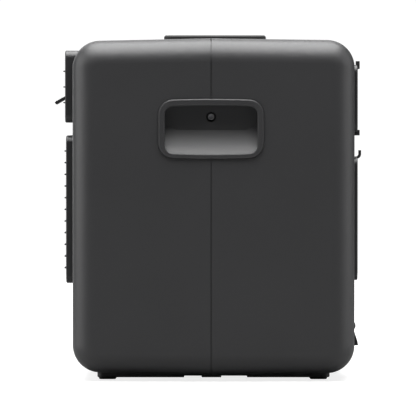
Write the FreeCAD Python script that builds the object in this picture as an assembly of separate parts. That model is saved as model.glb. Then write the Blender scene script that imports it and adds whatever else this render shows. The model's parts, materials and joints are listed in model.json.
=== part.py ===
"""Portable box air conditioner, built from its separate parts, in millimetres.

The front faces -Y, the rear with the duct flanges faces +Y, and the two ends with
the carrying pockets face -X and +X. The casing is a front and a rear shell that
meet at the plane Y = 0. The origin is on the floor, under the middle of that seam.
"""

import FreeCAD
import Part
import math
import os

V = FreeCAD.Vector
X_AXIS, Y_AXIS, Z_AXIS = V(1, 0, 0), V(0, 1, 0), V(0, 0, 1)

# ---------------------------------------------------------------- driving dimensions
HALF_WIDTH = 257.0        # casing half width at the seam
END_DRAFT = 1.0           # how much each end leans in from the seam to the face
FRONT_DEPTH = 135.2       # seam to front face
REAR_DEPTH = 140.1        # seam to rear face
BODY_LOW = 5.9            # underside of the casing at the seam
BODY_HIGH = 334.3         # top of the casing at the seam
FRONT_DRAFT = 2.7         # how much top and underside close in towards the front face
REAR_DRAFT = 1.8
WALL = 3.0
LENGTH_EDGE_R = 27.0      # long edges, parallel to X
END_EDGE_R = 23.0         # edges round each end face
SEAM_GAP = 0.35           # half the shadow gap between the shells
CLEAR = 0.25              # between a part and the window it sits in

# front outlet band
BAND_X = 208.0
BAND_Z = (252.1, 323.0)
BAND_FACE = -143.5
BAND_BACK = -121.0
BAND_CORNER = 8.0
OUTLET_X = (-84.0, 200.0)
OUTLET_Z = (255.1, 320.4)
PANEL_X = (-200.0, -92.0)
PANEL_Z = (258.0, 318.3)
FIN_Z = (271.8, 287.25, 302.7)
VANE_PITCH = 15.45
VANE_LOWEST = 264.1
VANE_PIVOT_Y = -138.1
VANE_TILT = 30.0          # vanes rest tipped down by this much
VANE_TAIL = 14.0
VANE_THICK = 1.8
LEVER_X = (148.0, 182.0)
LEVER_LENGTH = 17.9
LEVER_THICK = 2.6
LEVER_RISE = 0.7          # lever's middle above the blade's middle
LEVER_VANE = 3            # third vane from the top carries the finger lever
CRANK = 10.0              # pivot to crank pin
FAN_MOUTH_X = (124.0, 178.0)

# control panel
BUTTON_NAMES = ("power_button", "mode_button", "fan_button", "cooler_button", "warmer_button")
BUTTON_Z = 268.0
BUTTON_PITCH = 19.0
BUTTON_R = 5.3
FASCIA_Y = (-142.5, -139.5)

# front intake cover
COVER_Z = (94.2, 239.5)
COVER_FACE = -142.6
COVER_BACK = -128.0
SLAT_COUNT = 11
SLAT_TOP = 224.2
SLAT_PITCH = 11.5

# rear flanges, for the duct adapters
FLANGE_X = (-45.0, 205.0)
FLANGE_FACE = 144.3
EXHAUST_Z = (243.0, 309.0)
LUG_Z = (239.5, 312.7)    # lowest and highest edge of the exhaust lugs
LUG_Y = (142.9, 146.5)    # back and face of a lug
INLET_Z = (97.0, 218.1)
DUCT_X = (-37.0, 197.0)   # clear window inside both flanges
EXHAUST_WINDOW_Z = (248.0, 304.5)
INLET_WINDOW_Z = (105.0, 210.0)
THROAT_WALL = 4.0
THROAT_BACK = 127.0
GUARD_PITCH = 9.0

# power port bay
PORT_X = (138.0, 206.0)
PORT_Z = (31.0, 91.0)
PORT_RIM = 138.4
PORT_GAP = 0.3            # cover to rim
PORT_COVER_T = 2.3
PORT_HINGE_INSET = 5.6     # how much shorter the hinge is than the cover at each end
INLET_CENTRE = (164.0, 61.0)
JACK_CENTRES = ((190.0, 71.0), (190.0, 51.0))
SOCKET_BACK, SOCKET_FACE = 120.5, 131.0

# drain, level with the condensate pan
DRAIN = (-60.0, 31.0)     # X and Z
DRAIN_FLANGE_R = 11.0
DRAIN_TUBE_R = 8.0
DRAIN_BORE_R = 6.0
DRAIN_FACE = 142.1

# carrying pockets
CUP_FACE = 259.2
CUP_RIM = (102.5, 58.5)
CUP_RIM_Z = 246.0
CUP_RIM_R = 15.0
CUP_MOUTH = (90.2, 47.3)
CUP_MOUTH_Z = 245.1
CUP_MOUTH_R = 8.3
CUP_BOW = 1.2             # how much the long sides of the rim bow outwards
CUP_DEPTH = 14.0
CUP_CREASE_Z = 248.6      # where the upright back wall turns into the scoop
CUP_LEAN = 13.0           # degrees that the scoop leans out at the crease
CUP_LAND = 2.0            # flat of the lower lip
CUP_LIP = 4.0             # rim that hangs in front of the finger ledge
CUP_LEDGE = 2.6           # how far the finger ledge rises behind the rim
CUP_WALL = 2.5
SCREW_Z = 257.8
SCREW_SEAT = 7.0          # back wall to the seat of the screw head
SCREW_HEAD = 3.0
BRACKET_X = 214.2         # outer face of the bracket that the screw pulls the pocket to

# underside and top
TRAY_X = 213.0
TRAY_CORNER = 6.0
TRAY_Y = (-111.8, 116.6)
TRAY_LOW = 2.0
FOOT_X = 198.0
TOP_PAD_X = 190.0
TOP_PAD_Y = (-46.4, 54.2)
TOP_PAD_HIGH = 338.3

# inside
CHASSIS_Z = (12.0, 13.5)
CHASSIS_X = 216.0
CHASSIS_Y = 110.0
PAN_X = (-90.0, 208.0)
PAN_Y = 118.0
PAN_HIGH = 39.0
PAN_WALL = 1.5
COIL_X = (-70.0, 185.0)
COIL_Y = (94.0, 116.0)
COIL_Z = (32.0, 236.0)
FAN_X, FAN_Z = 62.0, 138.0
WHEEL_R = 60.0
COMPRESSOR = (-155.0, 0.0)
COMPRESSOR_R = 46.0
COMPRESSOR_Z = (32.0, 205.0)
LINE_HIGH, LINE_LOW = 198.0, 44.0
LINE_Y = 99.5
BOARD_Z = 250.0


# ---------------------------------------------------------------- building helpers
def box(x, y, z):
    """A box from three (low, high) pairs."""
    return Part.makeBox(x[1] - x[0], y[1] - y[0], z[1] - z[0], V(x[0], y[0], z[0]))


def rod(start, axis, radius, length):
    """A cylinder that runs from start along axis."""
    return Part.makeCylinder(radius, length, V(*start), axis)


def edges_along(shape, axis):
    """The straight edges of shape that are parallel to axis."""
    found = []
    for edge in shape.Edges:
        if isinstance(edge.Curve, Part.Line) and edge.Curve.Direction.cross(axis).Length < 1e-6:
            found.append(edge)
    return found


def rounded_box(x, y, z, axis, radius):
    """A box whose four edges parallel to axis are rounded."""
    plain = box(x, y, z)
    return plain.makeFillet(radius, edges_along(plain, axis))


def edges_at(shape, test):
    """The edges of shape whose vertices all pass test."""
    return [e for e in shape.Edges if e.Vertexes and all(test(v.Point) for v in e.Vertexes)]


def ring_box(x, y, z, axis, radius, walls):
    """A rounded box frame open along Y, with its (side, top and bottom) wall thicknesses."""
    side, level = walls
    outer = rounded_box(x, y, z, axis, radius)
    inner_r = max(radius - min(walls), 0.8)
    hole = rounded_box((x[0] + side, x[1] - side), (y[0] - 1, y[1] + 1),
                       (z[0] + level, z[1] - level), axis, inner_r)
    return outer.cut(hole)


def prism(points, direction):
    """A closed outline of points swept along direction."""
    outline = [V(*p) for p in points]
    face = Part.Face(Part.makePolygon(outline + [outline[0]]))
    return face.extrude(direction)


def fuse(shapes):
    """All shapes as one."""
    first, rest = shapes[0], list(shapes[1:])
    return first.fuse(rest).removeSplitter() if rest else first


def mirrored(shape, normal):
    """shape reflected in the plane through the origin with that normal."""
    return shape.mirror(V(0, 0, 0), normal)


def both_ends(shape):
    """shape at the +X end and its mirror image at the -X end, as separate solids."""
    return Part.makeCompound([shape, mirrored(shape, X_AXIS)])


def grow(pair, amount):
    """A (low, high) pair widened by amount at both ends."""
    return (pair[0] - amount, pair[1] + amount)


def middle(pair):
    """The middle of a (low, high) pair."""
    return (pair[0] + pair[1]) / 2


def pipe(points, radius, bend):
    """A round tube through points, with an arc of radius bend at each corner."""
    route = [V(*p) for p in points]
    edges = []
    start = route[0]
    for before, corner, after in zip(route, route[1:], route[2:]):
        inward = (before - corner).normalize()
        outward = (after - corner).normalize()
        half = inward.getAngle(outward) / 2
        reach = bend / math.tan(half)
        first = corner + inward * reach
        last = corner + outward * reach
        bisector = (inward + outward).normalize()
        centre = corner + bisector * (bend / math.sin(half))
        edges.append(Part.makeLine(start, first))
        edges.append(Part.Arc(first, centre - bisector * bend, last).toShape())
        start = last
    edges.append(Part.makeLine(start, route[-1]))
    path = Part.Wire(edges)
    along = (route[1] - route[0]).normalize()
    section = Part.Wire([Part.makeCircle(radius, route[0], along)])
    return path.makePipeShell([section], True, False)


# ---------------------------------------------------------------- casing
def half_body(side, inset):
    """One half of the casing's outer form, shrunk by inset. side is -1 at the front, 1 at the rear."""
    depth = (FRONT_DEPTH if side < 0 else REAR_DEPTH) - inset
    draft = FRONT_DRAFT if side < 0 else REAR_DRAFT
    wide = HALF_WIDTH - inset
    low, high = BODY_LOW + inset, BODY_HIGH - inset
    y = side * depth
    seam = [V(-wide, 0, low), V(wide, 0, low), V(wide, 0, high), V(-wide, 0, high)]
    narrow = wide - END_DRAFT
    face = [V(-narrow, y, low + draft), V(narrow, y, low + draft),
            V(narrow, y, high - draft), V(-narrow, y, high - draft)]
    solid = Part.makeLoft([Part.makePolygon(ring + [ring[0]]) for ring in (seam, face)], True, True)
    long_edges = [e for e in edges_at(solid, lambda p: abs(p.y - y) < 1e-6)
                  if abs(e.Vertexes[0].Z - e.Vertexes[1].Z) < 1e-6]
    solid = solid.makeFillet(LENGTH_EDGE_R - inset, long_edges)
    end_edges = [e for e in edges_at(solid, lambda p: abs(p.x) > narrow - 1e-3)
                 if not all(abs(v.Y) < 1e-6 for v in e.Vertexes)
                 and e.Vertexes[0].X * e.Vertexes[-1].X > 0]
    return solid.makeFillet(END_EDGE_R - inset, end_edges)


def whole_body(inset):
    """Both halves of the casing's form as one solid, shrunk by inset."""
    return half_body(-1, inset).fuse(half_body(1, inset))


def rim_prism(size, centre_z, corner, bow, x):
    """A rounded rectangle in the YZ plane whose long sides bow outwards, swept over the x pair."""
    half_y, half_z = size[0] / 2, size[1] / 2
    low, high = centre_z - half_z + bow, centre_z + half_z - bow
    corners = [V(x[0], -half_y, low), V(x[0], half_y, low), V(x[0], half_y, high), V(x[0], -half_y, high)]
    edges = [
        Part.Arc(corners[0], V(x[0], 0, low - bow), corners[1]).toShape(),
        Part.makeLine(corners[1], corners[2]),
        Part.Arc(corners[2], V(x[0], 0, high + bow), corners[3]).toShape(),
        Part.makeLine(corners[3], corners[0]),
    ]
    solid = Part.Face(Part.Wire(edges)).extrude(V(x[1] - x[0], 0, 0))
    return solid.makeFillet(corner, edges_along(solid, X_AXIS))


def cup_holes():
    """The cuts in both ends that the carrying pockets sit in."""
    size = (CUP_RIM[0] + 2 * CLEAR, CUP_RIM[1] + 2 * CLEAR)
    right = rim_prism(size, CUP_RIM_Z, CUP_RIM_R + CLEAR, CUP_BOW, (225.0, 270.0))
    return [right, mirrored(right, X_AXIS)]


def tray_screw_places():
    """Centres of the screws that hold the base tray."""
    return [(x, y) for x in (-170.0, 170.0) for y in (-60.0, 60.0)]


def tray_screw_holes(radius):
    """Cylinders through the floor at every tray screw."""
    return [rod((x, y, 0), Z_AXIS, radius, 20) for x, y in tray_screw_places()]


def front_shell():
    """Front half of the casing, with the lip that bridges the seam from inside."""
    shell = half_body(-1, 0).cut(half_body(-1, WALL))
    wide = (-300.0, 300.0)
    tall = (-10.0, 400.0)
    shell = shell.cut(box(wide, (-SEAM_GAP, 1.0), tall))
    lip_t = 1.6
    lip_front = half_body(-1, WALL).cut(half_body(-1, WALL + lip_t))
    lip_front = lip_front.common(box(wide, (-8.0, 0.0), tall))
    lip_rear = half_body(1, WALL + 0.15).cut(half_body(1, WALL + lip_t))
    lip_rear = lip_rear.common(box(wide, (0.0, 5.0), tall))
    shell = shell.fuse([lip_front, lip_rear]).removeSplitter()
    band = rounded_box(grow((-BAND_X, BAND_X), CLEAR), (-160, -90), grow(BAND_Z, CLEAR),
                       Y_AXIS, BAND_CORNER + CLEAR)
    cover = rounded_box(grow((-BAND_X, BAND_X), CLEAR), (-160, -90), grow(COVER_Z, CLEAR),
                        Y_AXIS, BAND_CORNER + CLEAR)
    return shell.cut([band, cover] + cup_holes() + tray_screw_holes(2.2))


def rear_shell():
    """Rear half of the casing, with its duct, power and drain openings."""
    shell = half_body(1, 0).cut(half_body(1, WALL))
    shell = shell.cut(box((-300, 300), (-1.0, SEAM_GAP), (-10, 400)))
    throat_x = grow(DUCT_X, THROAT_WALL + CLEAR)
    windows = [
        rounded_box(throat_x, (100, 160), grow(EXHAUST_WINDOW_Z, THROAT_WALL + CLEAR), Y_AXIS, 8),
        rounded_box(throat_x, (100, 160), grow(INLET_WINDOW_Z, THROAT_WALL + CLEAR), Y_AXIS, 8),
        rounded_box(grow(PORT_X, 0.4), (110, 160), grow(PORT_Z, 0.4), Y_AXIS, 5.4),
        rod((DRAIN[0], 110, DRAIN[1]), Y_AXIS, DRAIN_TUBE_R + CLEAR, 50),
    ]
    label = rounded_box((-190, -90), (REAR_DEPTH - 0.6, 160), (130, 190), Y_AXIS, 4)
    return shell.cut(windows + [label] + cup_holes() + tray_screw_holes(2.2))


def base_tray():
    """Plate under the casing, with two docking channels and the pockets of the feet."""
    plate = rounded_box((-TRAY_X, TRAY_X), TRAY_Y, (TRAY_LOW, 14.0), Z_AXIS, TRAY_CORNER)
    rim = edges_at(plate, lambda p: abs(p.z - TRAY_LOW) < 1e-6)
    plate = plate.makeChamfer(0.7, rim)
    channels = [
        box((-230, 230), (-26.5, -9.3), (0, TRAY_LOW + 1.6)),
        box((-230, 230), (10.0, 35.4), (0, TRAY_LOW + 1.6)),
    ]
    docking = [
        rounded_box((-70, 70), (-80, -50), (0, TRAY_LOW + 2.0), Z_AXIS, 6),
        rounded_box((-70, 70), (58, 88), (0, TRAY_LOW + 2.0), Z_AXIS, 6),
    ]
    pockets = [foot_solid(x, y, 0.2) for x, y in foot_places()]
    sinks = [rod((x, y, 0), Z_AXIS, 4.6, TRAY_LOW + 2.6) for x, y in tray_screw_places()]
    plate = plate.cut(channels + docking + pockets + sinks + tray_screw_holes(2.2))
    return plate.cut(whole_body(0)).removeSplitter()


def foot_places():
    """Centres of the four feet."""
    rows = (TRAY_Y[0] + 10.0, TRAY_Y[1] - 11.0)
    return [(x, y) for x in (-FOOT_X, FOOT_X) for y in rows]


def foot_solid(x, y, extra):
    """A rubber foot centred on x, y; extra makes it wider all round, for its pocket."""
    half_x, half_y = 13.0 + extra, 8.6 + extra
    pad = rounded_box((x - half_x, x + half_x), (y - half_y, y + half_y), (0, 4.4 + extra), Z_AXIS, 4)
    return pad.makeChamfer(0.9, edges_at(pad, lambda p: abs(p.z) < 1e-6)) if not extra else pad


def tray_screws():
    """Pan-head screws through tray, casing floor and chassis."""
    screws = []
    for x, y in tray_screw_places():
        head = rod((x, y, TRAY_LOW + 0.3), Z_AXIS, 4.0, 2.3)
        head = head.makeFillet(0.8, edges_at(head, lambda p: abs(p.z - TRAY_LOW - 0.3) < 1e-6))
        shank = rod((x, y, TRAY_LOW + 2.6), Z_AXIS, 2.0, CHASSIS_Z[1] - TRAY_LOW - 2.7)
        screws.append(head.fuse(shank).cut(cross_recess(V(x, y, TRAY_LOW + 0.3), Z_AXIS, 4.2, 1.4)))
    return Part.makeCompound(screws)


def cross_recess(place, axis, span, depth):
    """A cross-shaped driver recess that goes in along axis from place."""
    arm = 1.1
    cross = Part.makeBox(span, arm, depth, V(-span / 2, -arm / 2, 0)).fuse(
        Part.makeBox(arm, span, depth, V(-arm / 2, -span / 2, 0)))
    cross.Placement = FreeCAD.Placement(place, FreeCAD.Rotation(Z_AXIS, axis))
    return cross


def top_pad():
    """Non-slip pad across the crown of the casing."""
    pad = rounded_box((-TOP_PAD_X, TOP_PAD_X), TOP_PAD_Y, (325.0, TOP_PAD_HIGH), Z_AXIS, 10)
    pad = pad.makeChamfer(1.4, edges_at(pad, lambda p: abs(p.z - TOP_PAD_HIGH) < 1e-6))
    grooves = []
    count = 9
    for i in range(count):
        y = TOP_PAD_Y[0] + (TOP_PAD_Y[1] - TOP_PAD_Y[0]) * (i + 1) / (count + 1)
        grooves.append(rounded_box((-TOP_PAD_X + 14, TOP_PAD_X - 14), (y - 1.5, y + 1.5),
                                   (TOP_PAD_HIGH - 0.8, TOP_PAD_HIGH + 1), Z_AXIS, 1.4))
    return pad.cut(grooves).cut(whole_body(0))


# ---------------------------------------------------------------- carrying pockets
def cup_profile(wall, top):
    """Side outline of the pocket in the XZ plane up to top, with wall added behind its surface."""
    back = CUP_FACE - CUP_DEPTH - wall
    bottom = CUP_MOUTH_Z - CUP_MOUTH[1] / 2 - 0.3 - wall
    crease = V(back, 0, CUP_CREASE_Z)
    scoop_end = V(CUP_FACE - CUP_LAND - wall, 0, bottom)
    chord = scoop_end - crease
    slope = math.atan2(chord.x, -chord.z)
    sag = chord.Length / 2 * math.tan((slope - math.radians(CUP_LEAN)) / 2)
    scoop_mid = crease + chord * 0.5 + V(-math.cos(slope), 0, -math.sin(slope)) * sag
    edges = [
        Part.makeLine(V(CUP_FACE, 0, top), V(back, 0, top)),
        Part.makeLine(V(back, 0, top), crease),
        Part.Arc(crease, scoop_mid, scoop_end).toShape(),
        Part.makeLine(scoop_end, V(CUP_FACE, 0, bottom)),
        Part.makeLine(V(CUP_FACE, 0, bottom), V(CUP_FACE, 0, top)),
    ]
    return Part.Face(Part.Wire(edges))


def cup_right():
    """Carrying pocket of the +X end: a rim, a scooped pocket with a finger ledge, a screw post."""
    back = CUP_FACE - CUP_DEPTH
    half = CUP_MOUTH[0] / 2
    mouth_top = CUP_MOUTH_Z + CUP_MOUTH[1] / 2
    rim = rim_prism(CUP_RIM, CUP_RIM_Z, CUP_RIM_R, CUP_BOW, (249.5, CUP_FACE))
    rim = rim.makeFillet(1.6, edges_at(rim, lambda p: abs(p.x - CUP_FACE) < 1e-6))
    wrap = cup_profile(CUP_WALL, mouth_top + CUP_LEDGE + CUP_WALL)
    wrap = wrap.extrude(V(0, CUP_MOUTH[0] + 2 * CUP_WALL, 0))
    wrap.translate(V(0, -half - CUP_WALL, 0))
    outer_size = (CUP_RIM[0] - 4, CUP_RIM[1] - 2)
    wrap = wrap.common(rim_prism(outer_size, CUP_RIM_Z, CUP_RIM_R - 2, CUP_BOW, (200, 252)))
    post = rod((back, 0, SCREW_Z), V(-1, 0, 0), 7.6, back - BRACKET_X)
    hollow = cup_profile(0, mouth_top + 0.3).extrude(V(0, CUP_MOUTH[0], 0))
    hollow.translate(V(0, -half, 0))
    hollow = hollow.common(rim_prism(CUP_MOUTH, CUP_MOUTH_Z, CUP_MOUTH_R, CUP_BOW, (200, 262)))
    ledge = rounded_box((back, CUP_FACE - CUP_LIP), (8 - half, half - 8),
                        (CUP_MOUTH_Z, mouth_top + CUP_LEDGE), X_AXIS, 4)
    cup = rim.fuse([wrap, post]).cut(hollow)
    mouth = [e for e in edges_at(cup, lambda p: abs(p.x - CUP_FACE) < 1e-6 and abs(p.y) < half + 0.5)
             if e.BoundBox.ZMin > CUP_MOUTH_Z - 24.5]
    cup = cup.makeFillet(1.2, mouth)
    seat = rod((back + 1, 0, SCREW_Z), V(-1, 0, 0), 5.1, SCREW_SEAT + 1)
    hole = rod((back + 1, 0, SCREW_Z), V(-1, 0, 0), 2.2, back + 2 - BRACKET_X)
    return cup.cut([ledge, seat, hole])


def cup_screw_right():
    """Socket-head screw that ties the +X pocket to its bracket."""
    seat = CUP_FACE - CUP_DEPTH - SCREW_SEAT
    top = seat + SCREW_HEAD
    head = rod((top, 0, SCREW_Z), V(-1, 0, 0), 3.6, SCREW_HEAD)
    head = head.makeFillet(0.9, edges_at(head, lambda p: abs(p.x - top) < 1e-6))
    shank = rod((seat, 0, SCREW_Z), V(-1, 0, 0), 2.0, seat - BRACKET_X + 4.5)
    corners = [math.radians(60 * i) for i in range(6)]
    socket = prism([(top, 2.0 * math.cos(a), SCREW_Z + 2.0 * math.sin(a)) for a in corners], V(-2.0, 0, 0))
    return head.fuse(shank).cut(socket)


def bracket_right():
    """Sheet-metal bracket that carries the +X pocket's load down to the chassis."""
    web = box((BRACKET_X - 1.5, BRACKET_X), (-24, 24), (CHASSIS_Z[1], 270))
    web = web.makeFillet(10, [e for e in edges_along(web, X_AXIS) if e.Vertexes[0].Z > 200])
    foot = box((BRACKET_X - 1.5, CHASSIS_X), (-24, 24), (CHASSIS_Z[1], CHASSIS_Z[1] + 1.5))
    holes = [rod((BRACKET_X - 5, 0, SCREW_Z), X_AXIS, 2.1, 10)]
    holes += [rounded_box((BRACKET_X - 5, BRACKET_X + 5), (-14, 14), (z, z + 50), X_AXIS, 9) for z in (50, 130)]
    return web.fuse(foot).cut(holes)


# ---------------------------------------------------------------- front outlet
def outlet_frame():
    """Band across the front that frames the outlet and the control panel."""
    frame = rounded_box((-BAND_X, BAND_X), (BAND_FACE, BAND_BACK), BAND_Z, Y_AXIS, BAND_CORNER)
    frame = frame.makeFillet(1.4, edges_at(frame, lambda p: abs(p.y - BAND_FACE) < 1e-6))
    outlet = rounded_box(OUTLET_X, (-150, -110), OUTLET_Z, Y_AXIS, 5)
    bay = rounded_box(PANEL_X, (-150, -110), PANEL_Z, Y_AXIS, 6)
    return frame.cut([outlet, bay])


def vane_pivots():
    """Height of each vane's pivot, from the top vane down."""
    return [VANE_LOWEST + VANE_PITCH * i for i in (3, 2, 1, 0)]


def outlet_fins():
    """Fixed guard in the outlet: a thin ring, three level fins and their struts."""
    ring_x, ring_z = grow(OUTLET_X, -0.15), grow(OUTLET_Z, -0.15)
    ring = ring_box(ring_x, (-142.6, -133.0), ring_z, Y_AXIS, 4.8, (3.0, 1.3))
    pieces = [ring]
    tip, tail, half = -145.6, -137.0, 0.9
    for z in FIN_Z:
        outline = [(ring_x[0] + 1, tip, z - 0.35), (ring_x[0] + 1, tip + 2.4, z - half),
                   (ring_x[0] + 1, tail, z - half), (ring_x[0] + 1, tail, z + half),
                   (ring_x[0] + 1, tip + 2.4, z + half), (ring_x[0] + 1, tip, z + 0.35)]
        pieces.append(prism(outline, V(ring_x[1] - ring_x[0] - 2, 0, 0)))
    for x in (-13.0, 58.0, 129.0):
        pieces.append(box((x - 1, x + 1), (-142.2, -140.6), grow(ring_z, -0.5)))
    guard = fuse(pieces)
    holes = [rod((ring_x[0] - 1, VANE_PIVOT_Y, z), X_AXIS, 1.56, 300) for z in vane_pivots()]
    ends = [guard.common(box((ring_x[0] - 1, ring_x[0] + 3), (-160, -120), (200, 340))),
            guard.common(box((ring_x[1] - 3, ring_x[1] + 1), (-160, -120), (200, 340)))]
    centre = guard.common(box((ring_x[0] + 3, ring_x[1] - 3), (-160, -120), (200, 340)))
    return fuse([end.cut(holes) for end in ends] + [centre])


def vane(number):
    """One swinging vane, tipped to its rest angle; number counts from the top."""
    z = vane_pivots()[number - 1]
    y = VANE_PIVOT_Y
    half = VANE_THICK / 2
    x_low, x_high = OUTLET_X[0] + 3.7, OUTLET_X[1] - 7.0
    blade = box((x_low, x_high), (y - 2.0, y + VANE_TAIL), (z - half, z + half))
    blade = blade.makeFillet(half - 0.05, edges_along(blade, X_AXIS))
    blade = blade.fuse(rod((x_low - 2.8, y, z), X_AXIS, 1.5, x_high - x_low + 2.8 + 6.4))
    blade = blade.fuse(rod((x_high - 1, y + CRANK, z), X_AXIS, 0.85, 4.4))
    if number == LEVER_VANE:
        lever_z = grow((z + LEVER_RISE, z + LEVER_RISE), LEVER_THICK / 2)
        lever = box(LEVER_X, (y - LEVER_LENGTH, y + 1.0), lever_z)
        lever = lever.makeFillet(0.5, edges_along(lever, X_AXIS)[:4])
        blade = blade.fuse(lever)
    blade = blade.removeSplitter()
    blade.rotate(V(0, y, z), X_AXIS, VANE_TILT)
    return blade


def crank_pin(z):
    """Y and Z of the crank pin of the vane that pivots at height z, at rest."""
    angle = math.radians(VANE_TILT)
    return VANE_PIVOT_Y + CRANK * math.cos(angle), z + CRANK * math.sin(angle)


def vane_link():
    """Upright bar that ties the four crank pins together."""
    pins = [crank_pin(z) for z in vane_pivots()]
    y = pins[0][0]
    x = (194.0, 195.6)
    bar = rounded_box(x, (y - 2.4, y + 2.4), (pins[-1][1] - 2.4, pins[0][1] + 2.4), X_AXIS, 2.3)
    return bar.cut([rod((190, py, pz), X_AXIS, 0.95, 10) for py, pz in pins])


def plenum(side, front_x, front_z, mouth_y):
    """Air box over a fan, open below to the fan and open at its mouth."""
    t = 2.0
    x, z = grow(front_x, t), (244.0, front_z[1] + t)
    y = tuple(sorted((side * 8.0, side * mouth_y)))
    hood = box(x, y, z)
    hollow = box(front_x, tuple(sorted((side * 10.0, side * (mouth_y - 12)))), (246.0, front_z[1]))
    mouth = box(front_x, tuple(sorted((side * (mouth_y - 14), side * (mouth_y + 5)))), front_z)
    inlet = box(FAN_MOUTH_X, tuple(sorted((side * 12.0, side * 80.0))), (240.0, 250.0))
    return hood.cut([hollow, mouth, inlet])


# ---------------------------------------------------------------- control panel
def button_x(index):
    """X of a button, counted from the left."""
    return middle(PANEL_X) + BUTTON_PITCH * (index - 2)


def control_fascia():
    """Plate behind which the display and the buttons sit."""
    plate = rounded_box(grow(PANEL_X, -0.2), FASCIA_Y, grow(PANEL_Z, -0.2), Y_AXIS, 5.8)
    window = rounded_box((-186.2, -105.8), (-150, -130), (279.8, 312.2), Y_AXIS, 3.2)
    holes = [rod((button_x(i), -150, BUTTON_Z), Y_AXIS, BUTTON_R + 0.2, 20) for i in range(5)]
    return plate.cut([window] + holes)


def display_window():
    """Clear cover of the display."""
    return rounded_box((-186, -106), (FASCIA_Y[0], -140.3), (280, 312), Y_AXIS, 3)


def display_module():
    """Display panel with its carrier, behind the clear cover."""
    panel = rounded_box((-185.8, -106.2), (-140.2, -136.5), (280.2, 311.8), Y_AXIS, 1.5)
    return panel.fuse(box((-180, -112), (-136.5, -134.1), (284, 308))).removeSplitter()


def control_board():
    """Circuit board of the control panel, with a push switch behind each button."""
    board = box((-197, -95), (-134.0, -132.4), (261, 315))
    switches = []
    for i in range(5):
        x = button_x(i)
        switches.append(box((x - 3, x + 3), (-135.2, -134.0), (BUTTON_Z - 3, BUTTON_Z + 3)))
    return board.fuse(switches)


def button(index):
    """A push button: domed cap, flange behind the plate, and a stem."""
    x = button_x(index)
    cap = rod((x, -143.9, BUTTON_Z), Y_AXIS, BUTTON_R, 5.0)
    cap = cap.makeFillet(0.7, edges_at(cap, lambda p: abs(p.y + 143.9) < 1e-6))
    flange = rod((x, -139.3, BUTTON_Z), Y_AXIS, 6.6, 1.0)
    stem = rod((x, -138.4, BUTTON_Z), Y_AXIS, 2.2, 2.2)
    return cap.fuse([flange, stem]).removeSplitter()


# ---------------------------------------------------------------- front intake
def intake_cover():
    """Lift-off louvred cover of the front intake."""
    x = (-BAND_X, BAND_X)
    solid = rounded_box(x, (COVER_FACE, COVER_BACK), COVER_Z, Y_AXIS, BAND_CORNER)
    solid = solid.makeFillet(1.4, edges_at(solid, lambda p: abs(p.y - COVER_FACE) < 1e-6))
    opening_z = (SLAT_TOP - SLAT_PITCH * (SLAT_COUNT - 1) - SLAT_PITCH * 0.62, SLAT_TOP + SLAT_PITCH * 0.62)
    opening = rounded_box(grow(x, -10), (-150, -120), opening_z, Y_AXIS, 4)
    pocket = rounded_box(grow(x, -3), (-134.0, -120), grow(COVER_Z, -3), Y_AXIS, 5)
    cover = solid.cut([opening, pocket])
    pieces = [cover]
    tip = COVER_FACE - 1.8
    for i in range(SLAT_COUNT):
        z = SLAT_TOP - SLAT_PITCH * i
        outline = [(-199, tip, z - 0.5), (-199, tip + 2.2, z - 1.0), (-199, -134.6, z + 2.4),
                   (-199, -134.6, z + 4.4), (-199, tip + 2.2, z + 1.0), (-199, tip, z + 0.5)]
        pieces.append(prism(outline, V(398, 0, 0)))
    for x_strut in (-132.0, -66.0, 0.0, 66.0, 132.0):
        pieces.append(box(grow((x_strut, x_strut), 1.2), (-140.5, -136.5), grow(opening_z, 0.5)))
    return fuse(pieces)


def front_filter():
    """Dust filter clipped into the back of the intake cover: frame, crossbars and mesh."""
    x, z, y = (-203.0, 203.0), (98.5, 235.5), (-133.6, -129.6)
    frame = ring_box(x, y, z, Y_AXIS, 4, (6.0, 6.0))
    bars = [box(grow((bx, bx), 1.5), (y[0], y[1] - 1), grow(z, -2)) for bx in (-101.5, 0.0, 101.5)]
    mesh = box(grow(x, -4), (-131.2, -130.6), grow(z, -4))
    return fuse([frame, mesh] + bars)


# ---------------------------------------------------------------- rear flanges
def duct_flange(outer_z, window_z):
    """Flange that seats on the rear shell, with a throat through the casing wall."""
    plate = rounded_box(FLANGE_X, (134.0, FLANGE_FACE), outer_z, Y_AXIS, 8)
    plate = plate.makeFillet(1.2, edges_at(plate, lambda p: abs(p.y - FLANGE_FACE) < 1e-6))
    plate = plate.cut(half_body(1, 0))
    throat = rounded_box(grow(DUCT_X, THROAT_WALL), (THROAT_BACK, FLANGE_FACE - 2),
                         grow(window_z, THROAT_WALL), Y_AXIS, 7.5)
    window = rounded_box(DUCT_X, (120, 150), window_z, Y_AXIS, 5)
    return plate.fuse(throat).cut(window).fuse(guard_bars(window_z)).removeSplitter()


def guard_bars(window_z):
    """Finger guard moulded across a duct window: level bars with uprights behind them."""
    bars = []
    levels = round((window_z[1] - window_z[0]) / GUARD_PITCH)
    for i in range(1, levels):
        z = window_z[0] + (window_z[1] - window_z[0]) * i / levels
        bars.append(box(grow(DUCT_X, 1.0), (130.5, 133.5), grow((z, z), 0.8)))
    uprights = 6
    for i in range(1, uprights):
        x = DUCT_X[0] + (DUCT_X[1] - DUCT_X[0]) * i / uprights
        bars.append(box(grow((x, x), 1.0), (129.8, 132.5), grow(window_z, 1.0)))
    return bars


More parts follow.
